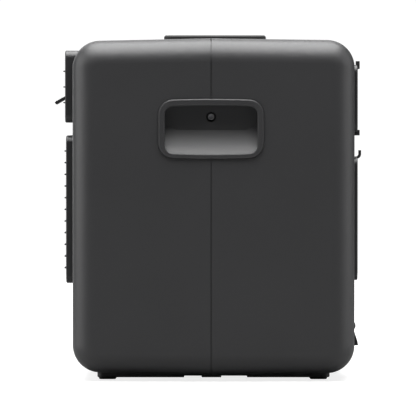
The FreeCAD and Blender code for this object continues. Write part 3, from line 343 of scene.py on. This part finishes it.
@dataclass(frozen=True)
class FoamBoard:
    """Closed-cell foam with small pits, darkened at their bottoms as painted shade."""

    name: str
    colour: Colour

    def material(self) -> bpy.types.Material:
        """Builds the node material.

        Returns:
            The material.
        """
        nodes = NodeTree(self.name)
        cells = nodes.tree.nodes.new("ShaderNodeTexVoronoi")
        cells.inputs["Scale"].default_value = 480.0
        nodes.link(nodes.place, cells.inputs["Vector"])
        pits = nodes.remap(cells.outputs["Distance"], 0.0, 1.0, 0.1, 0.6)
        # Painted shade: the colour darkens towards each pit's bottom, where shade would fall.
        pit_shade = tuple(c * 0.7 for c in self.colour)
        nodes.link(nodes.tinted(pits, pit_shade, self.colour), nodes.shader.inputs["Base Color"])
        nodes.link(nodes.remap(pits, 0.95, 0.8, 0.0, 1.0), nodes.shader.inputs["Roughness"])
        nodes.bump([(pits, 0.0002)])
        return nodes.material


Finish = MouldedPlastic | SoftRubber | Metal | TintedGlass | LitSegment | SolderMask | FoamBoard


class Finishes:
    """The object's finishes, one for each material slot, each built once."""

    TABLE: dict[str, Finish] = {
        "casing_graphite": MouldedPlastic("casing_graphite", (0.022, 0.022, 0.0232), 0.47, 1300.0, 0.00003),
        "base_black": MouldedPlastic("base_black", (0.018, 0.018, 0.019), 0.6, 1100.0, 0.00004),
        "handle_black": MouldedPlastic("handle_black", (0.022, 0.022, 0.0232), 0.44, 1800.0, 0.00002),
        "grille_black": MouldedPlastic("grille_black", (0.014, 0.014, 0.015), 0.42, 1500.0, 0.00003),
        "vane_black": MouldedPlastic("vane_black", (0.010, 0.010, 0.011), 0.45, 1500.0, 0.00003),
        "rubber_black": SoftRubber("rubber_black", (0.010, 0.010, 0.010)),
        "screw_steel": Metal("screw_steel", (0.30, 0.30, 0.31), 0.36, Weave.SPARKED),
        "sheet_steel": Metal("sheet_steel", (0.55, 0.56, 0.57), 0.34, Weave.BRUSHED),
        "fascia_gloss": MouldedPlastic("fascia_gloss", (0.008, 0.008, 0.009), 0.16, 2400.0, 0.000004),
        "display_glass": TintedGlass("display_glass", (0.010, 0.011, 0.013)),
        "display_black": MouldedPlastic("display_black", (0.006, 0.006, 0.008), 0.3, 1800.0, 0.00001),
        "circuit_green": SolderMask("circuit_green", (0.010, 0.075, 0.030)),
        "button_grey": SoftRubber("button_grey", (0.055, 0.055, 0.058), 1400.0),
        "filter_mesh": MouldedPlastic("filter_mesh", (0.020, 0.020, 0.021), 0.7, 2600.0, 0.00004),
        "duct_white": MouldedPlastic("duct_white", (0.48, 0.48, 0.46), 0.6, 700.0, 0.00006, 0.08),
        "socket_black": MouldedPlastic("socket_black", (0.012, 0.012, 0.012), 0.3, 1900.0, 0.00001),
        "contact_metal": Metal("contact_metal", (0.72, 0.68, 0.60), 0.24, Weave.SPARKED),
        "pan_black": MouldedPlastic("pan_black", (0.022, 0.022, 0.022), 0.62, 900.0, 0.00005),
        "foam_grey": FoamBoard("foam_grey", (0.17, 0.17, 0.175)),
        "coil_aluminium": Metal("coil_aluminium", (0.78, 0.79, 0.80), 0.30, Weave.BRUSHED),
        "wheel_black": MouldedPlastic("wheel_black", (0.020, 0.020, 0.020), 0.5, 1000.0, 0.00003),
        "motor_steel": Metal("motor_steel", (0.42, 0.42, 0.43), 0.40, Weave.CAST),
        "compressor_black": Metal("compressor_black", (0.014, 0.014, 0.015), 0.38, Weave.CAST, 0.0),
        "line_copper": Metal("line_copper", (0.80, 0.40, 0.24), 0.28, Weave.SPARKED),
        "display_glow": LitSegment("display_glow", (0.55, 0.82, 1.0)),
        "label_grey": MouldedPlastic("label_grey", (0.085, 0.085, 0.088), 0.38, 2600.0, 0.00001),
        "symbol_white": MouldedPlastic("symbol_white", (0.52, 0.52, 0.53), 0.55, 2200.0, 0.00001),
    }

    def __init__(self) -> None:
        """Starts with nothing built."""
        self.built: dict[str, bpy.types.Material] = {}

    def get(self, name: str) -> bpy.types.Material:
        """Gives a finish's material.

        Args:
            name: The finish's name in the table.

        Returns:
            The material, built on first use.
        """
        if name not in self.built:
            self.built[name] = self.TABLE[name].material()
        return self.built[name]


# ---------------------------------------------------------------- the modelling bench
class Bench:
    """Hand-modelling steps, done with operators on one object at a time."""

    @staticmethod
    def deselect() -> None:
        """Leaves object mode with nothing selected."""
        if bpy.context.object is not None and bpy.context.object.mode != "OBJECT":
            bpy.ops.object.mode_set(mode="OBJECT")
        bpy.ops.object.select_all(action="DESELECT")

    @classmethod
    def only(cls, piece: bpy.types.Object) -> None:
        """Makes one object the only selected one, and the active one.

        Args:
            piece: The object.
        """
        cls.deselect()
        piece.select_set(True)
        bpy.context.view_layer.objects.active = piece

    @classmethod
    def settle(cls, piece: bpy.types.Object, name: str) -> bpy.types.Object:
        """Names a piece and puts its place, turn and size into its mesh.

        Args:
            piece: The object to settle.
            name: Its new name.

        Returns:
            The same object.
        """
        cls.only(piece)
        bpy.ops.object.transform_apply(location=True, rotation=True, scale=True)
        piece.name = name
        piece.data.name = name
        return piece

    @classmethod
    def block(cls, name: str, low: Sequence[float], high: Sequence[float], bevel: float,
              segments: int = 2) -> bpy.types.Object:
        """A block between two corners with all its edges rounded.

        Args:
            name: The piece's name.
            low: Its lowest corner.
            high: Its highest corner.
            bevel: How far each edge is rounded.
            segments: Steps in the rounding.

        Returns:
            The new piece.
        """
        cls.deselect()
        middle = [(a + b) / 2 for a, b in zip(low, high)]
        size = [b - a for a, b in zip(low, high)]
        bpy.ops.mesh.primitive_cube_add(size=1.0, location=middle, scale=size)
        piece = cls.settle(bpy.context.object, name)
        bpy.ops.object.mode_set(mode="EDIT")
        bpy.ops.mesh.select_all(action="SELECT")
        bpy.ops.mesh.bevel(offset=bevel, segments=segments, affect="EDGES", clamp_overlap=True)
        bpy.ops.object.mode_set(mode="OBJECT")
        return piece

    @classmethod
    def disc(cls, name: str, centre: Sequence[float], radius: float, depth: float, bevel: float,
             sides: int = 32) -> bpy.types.Object:
        """A round disc whose axis is Y, with its rims rounded.

        Args:
            name: The piece's name.
            centre: The disc's centre.
            radius: Its radius.
            depth: Its thickness along Y.
            bevel: How far its rims are rounded.
            sides: Steps round it.

        Returns:
            The new piece.
        """
        cls.deselect()
        bpy.ops.mesh.primitive_cylinder_add(vertices=sides, radius=radius, depth=depth, location=centre,
                                            rotation=(math.pi / 2, 0.0, 0.0))
        piece = cls.settle(bpy.context.object, name)
        cls.pick_edges(piece, lambda a, b: abs(a.y - b.y) < 1e-7)
        bpy.ops.mesh.bevel(offset=bevel, segments=2, affect="EDGES", clamp_overlap=True)
        bpy.ops.object.mode_set(mode="OBJECT")
        return piece

    @classmethod
    def arc(cls, name: str, centre: Vector, radius: float, width: float, depth: float,
            start: float, sweep: float) -> bpy.types.Object:
        """A flat bar bent round an axis along Y.

        Args:
            name: The piece's name.
            centre: Centre of the bend.
            radius: Radius to the bar's middle.
            width: The bar's width across the bend.
            depth: The bar's thickness along Y.
            start: Angle where it starts, from +X towards +Z.
            sweep: How far it runs round.

        Returns:
            The new piece.
        """
        cls.deselect()
        bpy.ops.mesh.primitive_plane_add(size=1.0, location=centre + Vector((radius, 0.0, 0.0)))
        piece = bpy.context.object
        piece.scale = (width, depth, 1.0)
        cls.settle(piece, name)
        bpy.ops.object.mode_set(mode="EDIT")
        bpy.ops.mesh.select_all(action="SELECT")
        steps = max(8, int(abs(sweep) / math.radians(9)))
        bpy.ops.mesh.spin(steps=steps, angle=sweep, center=centre, axis=(0.0, -1.0, 0.0))
        bpy.ops.mesh.select_all(action="SELECT")
        bpy.ops.mesh.remove_doubles(threshold=1e-7)
        bpy.ops.mesh.normals_make_consistent(inside=False)
        bpy.ops.object.mode_set(mode="OBJECT")
        piece.data.transform(cls.turn_about(centre, start))
        return piece

    @staticmethod
    def turn_about(centre: Vector, angle: float) -> Matrix:
        """The turn by angle, from +X towards +Z, about a centre."""
        return (Matrix.Translation(centre) @ Matrix.Rotation(-angle, 4, "Y")
                @ Matrix.Translation(-centre))

    @staticmethod
    def pick_edges(piece: bpy.types.Object, test: Callable[[Vector, Vector], bool]) -> None:
        """Enters edit mode with only some edges selected.

        Args:
            piece: The active piece.
            test: Says whether the edge between two points is wanted.
        """
        bpy.ops.object.mode_set(mode="EDIT")
        bpy.ops.mesh.select_mode(type="EDGE")
        bpy.ops.mesh.select_all(action="DESELECT")
        bpy.ops.object.mode_set(mode="OBJECT")
        points = piece.data.vertices
        for edge in piece.data.edges:
            edge.select = test(*(points[i].co for i in edge.vertices))
        bpy.ops.object.mode_set(mode="EDIT")

    @classmethod
    def repeat(cls, piece: bpy.types.Object, step: Point, count: int) -> bpy.types.Object:
        """Repeats a piece in a row, in one mesh.

        Args:
            piece: The first of the row.
            step: From one to the next.
            count: How many there are.

        Returns:
            The same object.
        """
        cls.only(piece)
        row = piece.modifiers.new("row", "ARRAY")
        row.use_relative_offset = False
        row.use_constant_offset = True
        row.constant_offset_displace = step
        row.count = count
        bpy.ops.object.modifier_apply(modifier=row.name)
        return piece

    @classmethod
    def joined(cls, pieces: Sequence[bpy.types.Object], name: str) -> bpy.types.Object:
        """Joins pieces into one object.

        Args:
            pieces: The pieces to join.
            name: The joined piece's name.

        Returns:
            The joined piece.
        """
        cls.only(pieces[0])
        for piece in pieces[1:]:
            piece.select_set(True)
        bpy.ops.object.join()
        pieces[0].name = name
        pieces[0].data.name = name
        return pieces[0]

    @classmethod
    def smooth(cls, piece: bpy.types.Object, degrees: float = 35.0) -> None:
        """Shades a piece smooth up to an angle."""
        cls.only(piece)
        bpy.ops.object.shade_smooth_by_angle(angle=math.radians(degrees))


@dataclass
class Assembly:
    """What every sub-assembly does: it dresses CAD nodes and adds its own pieces."""

    finishes: Finishes
    added: list[str] = field(default_factory=list)

    def dress(self, finish: str, *nodes: str) -> None:
        """Gives CAD nodes a finish.

        Args:
            finish: The finish's name.
            nodes: The CAD nodes.
        """
        for name in nodes:
            slots = frame["nodes"][name].data.materials
            slots.clear()
            slots.append(self.finishes.get(finish))

    def add(self, piece: bpy.types.Object, body: str, finish: str, slot: str,
            replaces: Iterable[str] = ()) -> bpy.types.Object:
        """Finishes a new piece: its material and its body.

        Args:
            piece: The new piece, in place.
            body: The body that it rides on.
            finish: Its finish's name.
            slot: Not used.
            replaces: The CAD nodes that it stands for.

        Returns:
            The same object.
        """
        piece.data.materials.clear()
        piece.data.materials.append(self.finishes.get(finish))
        Bench.smooth(piece)
        Bench.deselect()
        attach(piece, body)
        if replaces:
            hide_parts(*replaces)
        self.added.append(piece.name)
        return piece

    def report(self) -> None:
        """Logs what was added."""
        LOG.info("%s: %s", type(self).__name__, ", ".join(self.added) or "dressed only")


# ---------------------------------------------------------------- the sub-assemblies
@dataclass
class Casing(Assembly):
    """Front and rear shells, base tray, feet, crown pad and the blank rating plate."""

    plate_x: tuple[float, float] = (-0.1895, -0.0905)
    plate_z: tuple[float, float] = (0.1305, 0.1895)
    plate_back: float = 0.6 * MM
    plate_sunk: float = 0.1 * MM
    plate_bevel: float = 0.15 * MM

    def build(self) -> None:
        """Dresses the shells and adds the rating plate."""
        self.dress("casing_graphite", "front_shell", "rear_shell")
        self.dress("base_black", "base_tray")
        self.dress("rubber_black", "rubber_feet", "top_pad")
        self.dress("screw_steel", "tray_screws")
        self.dress("sheet_steel", "chassis", "compartment_wall")
        self.dress("foam_grey", "divider")
        self.dress("pan_black", "drip_pan")
        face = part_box("rear_shell")[1].y
        plate = Bench.block("rating_plate", (self.plate_x[0], face - self.plate_back, self.plate_z[0]),
                            (self.plate_x[1], face - self.plate_sunk, self.plate_z[1]), self.plate_bevel)
        self.add(plate, "casing", "label_grey", "sheet_steel")
        self.report()


@dataclass
class CarryingPockets(Assembly):
    """The pocket in each end, with its screw and its bracket."""

    def build(self) -> None:
        """Dresses both pockets."""
        self.dress("handle_black", "handle_cup_right", "handle_cup_left")
        self.dress("screw_steel", "handle_screws")
        self.dress("sheet_steel", "handle_brackets")
        self.report()


@dataclass
class FrontOutlet(Assembly):
    """The outlet band with its fins, swinging vanes and finger lever."""

    rib_count: int = 4
    rib_pitch: float = 2.0 * MM
    rib_width: float = 0.9 * MM
    rib_height: float = 0.4 * MM
    rib_root: float = 0.4 * MM
    rib_bevel: float = 0.25 * MM
    rib_setback: float = 1.6 * MM
    rib_side: float = 2.0 * MM
    tilt: float = math.radians(30.0)
    lever_x: tuple[float, float] = (0.148, 0.182)
    lever_top: float = 2.0 * MM
    lever_length: float = 17.9 * MM

    def build(self) -> None:
        """Dresses the outlet and ribs the finger lever."""
        self.dress("grille_black", "outlet_frame", "outlet_fins")
        self.dress("vane_black", "vane_link", *(f"outlet_vane_{i}" for i in (1, 2, 3, 4)))
        self.dress("duct_white", "outlet_air_box")
        self.add(self.grip_ribs(), "vane_3", "vane_black", "vane_black")
        self.report()

    def grip_ribs(self) -> bpy.types.Object:
        """Ribs across the top of the finger lever, tipped with the vane.

        Returns:
            The ribs as one piece.
        """
        _, y, z = next(j["pos_m"] for j in frame["joints"] if j["name"] == "vane_3_tilt")
        front = y - self.lever_length + self.rib_setback
        top = z + self.lever_top
        rib = Bench.block("rib", (self.lever_x[0] + self.rib_side, front, top - self.rib_root),
                          (self.lever_x[1] - self.rib_side, front + self.rib_width, top + self.rib_height),
                          self.rib_bevel)
        ribs = Bench.repeat(rib, (0.0, self.rib_pitch, 0.0), self.rib_count)
        ribs.name = ribs.data.name = "lever_ribs"
        Bench.only(ribs)
        bpy.ops.object.mode_set(mode="EDIT")
        bpy.ops.mesh.select_all(action="SELECT")
        # With no window the operator turns the other way, so the sign is reversed.
        bpy.ops.transform.rotate(value=-self.tilt, orient_axis="X", center_override=(0.0, y, z))
        bpy.ops.object.mode_set(mode="OBJECT")
        return ribs


@dataclass
class DustFilter(Assembly):
    """A clip-in dust filter: a moulded frame with crossbars over a woven mesh."""

    node: str = "front_filter"
    body: str = "intake_cover"
    rail: float = 6.0 * MM
    thread: float = 0.45 * MM
    pitch: float = 2.6 * MM
    crossbars: int = 3
    rail_bevel: float = 0.4 * MM
    bar_half: float = 1.2 * MM
    bar_front: float = 0.2 * MM
    bar_back: float = 0.4 * MM
    bar_end: float = 1.0 * MM
    bar_bevel: float = 0.3 * MM

    def build(self) -> None:
        """Builds the frame and the mesh in the place of the plain CAD filter."""
        low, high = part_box(self.node)
        mid_y = (low.y + high.y) / 2
        rails = [
            Bench.block("rail", low, (high.x, high.y, low.z + self.rail), self.rail_bevel),
            Bench.block("rail", (low.x, low.y, high.z - self.rail), high, self.rail_bevel),
            Bench.block("rail", low, (low.x + self.rail, high.y, high.z), self.rail_bevel),
            Bench.block("rail", (high.x - self.rail, low.y, low.z), high, self.rail_bevel),
        ]
        for i in range(1, self.crossbars + 1):
            x = low.x + (high.x - low.x) * i / (self.crossbars + 1)
            foot = (x - self.bar_half, low.y + self.bar_front, low.z + self.bar_end)
            head = (x + self.bar_half, high.y - self.bar_back, high.z - self.bar_end)
            rails.append(Bench.block("bar", foot, head, self.bar_bevel))
        bars = Bench.joined(rails, f"{self.node}_frame")
        self.add(bars, self.body, "pan_black", "filter_mesh", [self.node])
        mesh = Bench.joined([self.threads(low, high, mid_y, True), self.threads(low, high, mid_y, False)],
                            f"{self.node}_mesh")
        self.add(mesh, self.body, "filter_mesh", "filter_mesh")
        self.report()

    def threads(self, low: Vector, high: Vector, y: float, upright: bool) -> bpy.types.Object:
        """One set of parallel threads.

        Args:
            low: The filter's lowest corner.
            high: The filter's highest corner.
            y: Depth of the weave's middle.
            upright: True for the warp, which stands, and False for the weft.

        Returns:
            The threads as one piece.
        """
        half = self.thread / 2
        inset = self.rail * 0.6
        shift = half * 0.8 if upright else -half * 0.8
        first = Vector((low.x + inset, y + shift - half, low.z + inset))
        if upright:
            last = Vector((first.x + self.thread, y + shift + half, high.z - inset))
            count = int((high.x - low.x - 2 * inset) / self.pitch)
            step = (self.pitch, 0.0, 0.0)
        else:
            last = Vector((high.x - inset, y + shift + half, first.z + self.thread))
            count = int((high.z - low.z - 2 * inset) / self.pitch)
            step = (0.0, 0.0, self.pitch)
        return Bench.repeat(Bench.block("thread", first, last, half * 0.4, 1), step, count)


@dataclass
class FrontIntake(Assembly):
    """The lift-off louvred cover of the front intake."""

    def build(self) -> None:
        """Dresses the cover."""
        self.dress("grille_black", "front_intake_cover")
        self.report()


class Symbol(Enum):
    """The plain symbol on a push button."""

    POWER = "power_button"
    MODE = "mode_button"
    FAN = "fan_button"
    MINUS = "cooler_button"
    PLUS = "warmer_button"


@dataclass
class ControlPanel(Assembly):
    """The glossy fascia with its display and five push buttons."""

    symbol_size: float = 2.3 * MM
    line: float = 0.55 * MM
    raised: float = 0.15 * MM
    digit_height: float = 17.0 * MM
    digit_width: float = 8.5 * MM
    stroke: float = 1.7 * MM

    SEGMENTS: ClassVar[dict[str, str]] = {"2": "abged", "4": "fgbc"}

    def build(self) -> None:
        """Dresses the panel and adds its symbols and digits."""
        self.dress("fascia_gloss", "control_fascia")
        self.dress("display_glass", "display_window")
        self.dress("display_black", "display_module")
        self.dress("circuit_green", "control_board")
        for symbol in Symbol:
            self.dress("button_grey", symbol.value)
            self.add(self.symbol(symbol), symbol.value + "_key", "symbol_white", "button_grey")
        self.add(self.digits("24"), "casing", "display_glow", "display_black")
        self.report()

    def symbol(self, kind: Symbol) -> bpy.types.Object:
        """The raised symbol on one button's cap.

        Args:
            kind: Which symbol.

        Returns:
            The symbol, in place.
        """
        low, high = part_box(kind.value)
        centre = Vector(((low.x + high.x) / 2, low.y, (low.z + high.z) / 2))
        size, half = self.symbol_size, self.line / 2
        front, back = centre.y - self.raised, centre.y + 0.2 * MM

        def bar(angle: float, start: float, end: float) -> bpy.types.Object:
            """A straight stroke along a line from the cap's centre.

            Args:
                angle: The line's angle, from +X towards +Z.
                start: Where the stroke starts along it.
                end: Where the stroke ends along it.

            Returns:
                The stroke.
            """
            piece = Bench.block("stroke", (centre.x + start, front, centre.z - half),
                                (centre.x + end, back, centre.z + half), 0.05 * MM, 1)
            piece.data.transform(Bench.turn_about(centre, angle))
            return piece

        if kind is Symbol.POWER:
            strokes = [Bench.arc("stroke", Vector((centre.x, (front + back) / 2, centre.z)), size, self.line,
                                 back - front, math.radians(125), math.radians(290)),
                       bar(math.pi / 2, size * 0.25, size * 1.25)]
        elif kind is Symbol.MODE:
            strokes = [bar(math.radians(angle), -size, size) for angle in (30, 90, 150)]
        elif kind is Symbol.FAN:
            strokes = []
            for angle in (90, 210, 330):
                lobe = Bench.disc("stroke", (centre.x + size * 0.55, (front + back) / 2, centre.z),
                                  size * 0.42, back - front, 0.05 * MM, 18)
                lobe.data.transform(Bench.turn_about(centre, math.radians(angle)))
                strokes.append(lobe)
        elif kind is Symbol.MINUS:
            strokes = [bar(0.0, -size, size)]
        else:
            strokes = [bar(0.0, -size, size), bar(math.pi / 2, -size, size)]
        return Bench.joined(strokes, f"symbol_{kind.name.lower()}")

    def digits(self, text: str) -> bpy.types.Object:
        """The number on the display, as bevelled segments in front of the panel.

        Args:
            text: The digits to show.

        Returns:
            All segments as one piece.
        """
        low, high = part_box("display_module")
        glass_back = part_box("display_window")[1].y
        y = (glass_back + 0.02 * MM, low.y)
        gap = self.digit_width * 0.45
        span = len(text) * self.digit_width + (len(text) - 1) * gap
        x = (low.x + high.x - span) / 2
        z = (low.z + high.z - self.digit_height) / 2
        strokes = []
        for character in text:
            strokes += self.digit(character, x, z, y)
            x += self.digit_width + gap
        return Bench.joined(strokes, "display_number")

    def digit(self, character: str, x: float, z: float, y: tuple[float, float]) -> list[bpy.types.Object]:
        """The lit segments of one digit.

        Args:
            character: The digit.
            x: Its left side.
            z: Its foot.
            y: Front and back of the segments.

        Returns:
            One piece for each lit segment.
        """
        wide, tall, t = self.digit_width, self.digit_height, self.stroke
        half = tall / 2
        spans = {
            "a": ((t * 0.6, tall - t), (wide - t * 0.6, tall)),
            "g": ((t * 0.6, half - t / 2), (wide - t * 0.6, half + t / 2)),
            "d": ((t * 0.6, 0.0), (wide - t * 0.6, t)),
            "f": ((0.0, half + t * 0.3), (t, tall - t * 0.5)),
            "b": ((wide - t, half + t * 0.3), (wide, tall - t * 0.5)),
            "e": ((0.0, t * 0.5), (t, half - t * 0.3)),
            "c": ((wide - t, t * 0.5), (wide, half - t * 0.3)),
        }
        lit = []
        for key in self.SEGMENTS[character]:
            (x0, z0), (x1, z1) = spans[key]
            lit.append(Bench.block("segment", (x + x0, y[0], z + z0), (x + x1, y[1], z + z1), 0.04 * MM, 1))
        return lit


@dataclass
class RearDucts(Assembly):
    """The exhaust and intake flanges."""

    def build(self) -> None:
        """Dresses the flanges and the exhaust air box."""
        self.dress("grille_black", "exhaust_flange", "rear_intake_flange")
        self.dress("duct_white", "exhaust_air_box")
        self.report()


@dataclass
class PowerPorts(Assembly):
    """The socket bay with its rubber cover, and the drain."""

    def build(self) -> None:
        """Dresses the ports and the drain."""
        self.dress("socket_black", "socket_panel", "ac_inlet")
        self.dress("contact_metal", "ac_inlet_pins", "dc_jacks")
        self.dress("rubber_black", "port_cover", "drain_plug")
        self.dress("grille_black", "drain_spout")
        self.report()


@dataclass
class CoolingCircuit(Assembly):
    """Coils, compressor, accumulator and the refrigerant lines."""

    def build(self) -> None:
        """Dresses the circuit."""
        self.dress("coil_aluminium", "evaporator", "condenser")
        self.dress("compressor_black", "compressor", "accumulator")
        self.dress("rubber_black", "compressor_mounts")
        self.dress("line_copper", "suction_line", "discharge_line", "liquid_line")
        self.report()


@dataclass
class Fans(Assembly):
    """Both blowers with their motors."""

    def build(self) -> None:
        """Dresses the blowers."""
        self.dress("duct_white", "evaporator_fan_housing", "condenser_fan_housing")
        self.dress("wheel_black", "evaporator_fan_wheel", "condenser_fan_wheel")
        self.dress("motor_steel", "fan_motors")
        self.report()


@dataclass
class Electronics(Assembly):
    """The main board on its tray."""

    def build(self) -> None:
        """Dresses the board, its tray and its heat sink."""
        self.dress("pan_black", "electronics_tray")
        self.dress("circuit_green", "main_board")
        self.dress("coil_aluminium", "heat_sink")
        self.report()


# ---------------------------------------------------------------- the studio
@dataclass(frozen=True)
class SoftBox:
    """A flat studio light."""

    name: str
    place: Point
    aim: Point
    size: tuple[float, float]
    power: float

    def build(self) -> None:
        """Adds the light."""
        light = bpy.data.lights.new(self.name, "AREA")
        light.shape = "RECTANGLE"
        light.size, light.size_y = self.size
        light.energy = self.power
        lamp = bpy.data.objects.new(self.name, light)
        lamp.location = self.place
        lamp.rotation_euler = (Vector(self.aim) - Vector(self.place)).to_track_quat("-Z", "Y").to_euler()
        bpy.context.scene.collection.objects.link(lamp)


@dataclass
class Studio:
    """A plain pale floor, soft lights and the camera."""

    distance: float = 4.0
    plane_x: float = 0.235
    view_y: float = -0.0030
    view_z: float = 0.1688
    eye_z: float = 0.2510
    view_width: float = 0.406
    sensor: float = 36.0
    far: float = 60.0
    floor_size: float = 30.0
    floor_drop: float = 0.2 * MM
    floor_colour: Colour = (0.30, 0.30, 0.30)
    floor_glow: tuple[float, float] = (0.80, 1.0)
    floor_reach: tuple[float, float] = (0.5, 1.1)
    backdrop_lit: float = 0.04
    backdrop_seen: float = 1.05
    boxes: tuple[SoftBox, ...] = (
        SoftBox("overhead", (0.30, 0.0, 1.55), (0.25, 0.0, 0.2), (1.8, 1.8), 92.0),
        SoftBox("left_side", (0.25, -1.7, 0.55), (0.0, 0.0, 0.2), (1.6, 1.6), 22.0),
        SoftBox("right_side", (0.25, 1.7, 0.55), (0.0, 0.0, 0.2), (1.6, 1.6), 14.0),
        SoftBox("backdrop", (-2.4, -0.4, 0.7), (0.0, 0.0, 0.2), (2.2, 2.2), 30.0),
    )

    def build(self) -> None:
        """Builds floor, backdrop light, lights and camera."""
        self.floor()
        self.world()
        for box in self.boxes:
            box.build()
        self.camera()
        bpy.context.scene.view_settings.view_transform = "Standard"
        bpy.context.scene.view_settings.look = "None"

    def floor(self) -> None:
        """Adds the pale floor under the object."""
        Bench.deselect()
        bpy.ops.mesh.primitive_plane_add(size=self.floor_size, location=(0.0, 0.0, -self.floor_drop))
        floor = Bench.settle(bpy.context.object, "studio_floor")
        nodes = NodeTree("pale_floor")
        nodes.constant("Base Color", (*self.floor_colour, 1.0))
        nodes.constant("Roughness", 0.9)
        nodes.constant("Specular IOR Level", 0.1)
        reach = nodes.tree.nodes.new("ShaderNodeVectorMath")
        reach.operation = "LENGTH"
        nodes.link(nodes.place, reach.inputs[0])
        glow = nodes.remap(reach.outputs["Value"], *self.floor_glow, *self.floor_reach)
        seen = nodes.tree.nodes.new("ShaderNodeMath")
        seen.operation = "MULTIPLY"
        nodes.link(nodes.tree.nodes.new("ShaderNodeLightPath").outputs["Is Camera Ray"], seen.inputs[0])
        nodes.link(glow, seen.inputs[1])
        nodes.link(seen.outputs["Value"], nodes.shader.inputs["Emission Strength"])
        nodes.constant("Emission Color", (1.0, 1.0, 1.0, 1.0))
        floor.data.materials.append(nodes.material)

    def world(self) -> None:
        """Makes the backdrop white to the eye and dim to the object."""
        world = bpy.data.worlds.new("studio")
        world.use_nodes = True
        bpy.context.scene.world = world
        tree = world.node_tree
        path = tree.nodes.new("ShaderNodeLightPath")
        strength = tree.nodes.new("ShaderNodeMapRange")
        strength.inputs["To Min"].default_value = self.backdrop_lit
        strength.inputs["To Max"].default_value = self.backdrop_seen
        tree.links.new(path.outputs["Is Camera Ray"], strength.inputs["Value"])
        back = tree.nodes["Background"]
        back.inputs["Color"].default_value = (1.0, 1.0, 1.0, 1.0)
        tree.links.new(strength.outputs["Result"], back.inputs["Strength"])

    def camera(self) -> None:
        """Adds the camera, square to the +X end and a little above its middle."""
        data = bpy.data.cameras.new("camera")
        data.sensor_width = self.sensor
        data.lens = self.sensor * self.distance / self.view_width
        data.clip_end = self.far
        camera = bpy.data.objects.new("camera", data)
        camera.location = (self.plane_x + self.distance, self.view_y, self.eye_z)
        aim = Vector((self.plane_x, self.view_y, self.view_z)) - camera.location
        camera.rotation_euler = aim.to_track_quat("-Z", "Y").to_euler()
        bpy.context.scene.collection.objects.link(camera)
        bpy.context.scene.camera = camera


def main() -> None:
    """Builds every sub-assembly, then the studio."""
    logging.basicConfig(level=logging.INFO, format="%(name)s %(message)s")
    finishes = Finishes()
    for kind in (Casing, CarryingPockets, FrontOutlet, FrontIntake, ControlPanel, RearDucts, PowerPorts,
                 CoolingCircuit, Fans, Electronics):
        kind(finishes).build()
    DustFilter(finishes).build()
    DustFilter(finishes, node="rear_filter", body="casing", rail=5.0 * MM, crossbars=1).build()
    Studio().build()


if __name__ == "__main__":
    main()
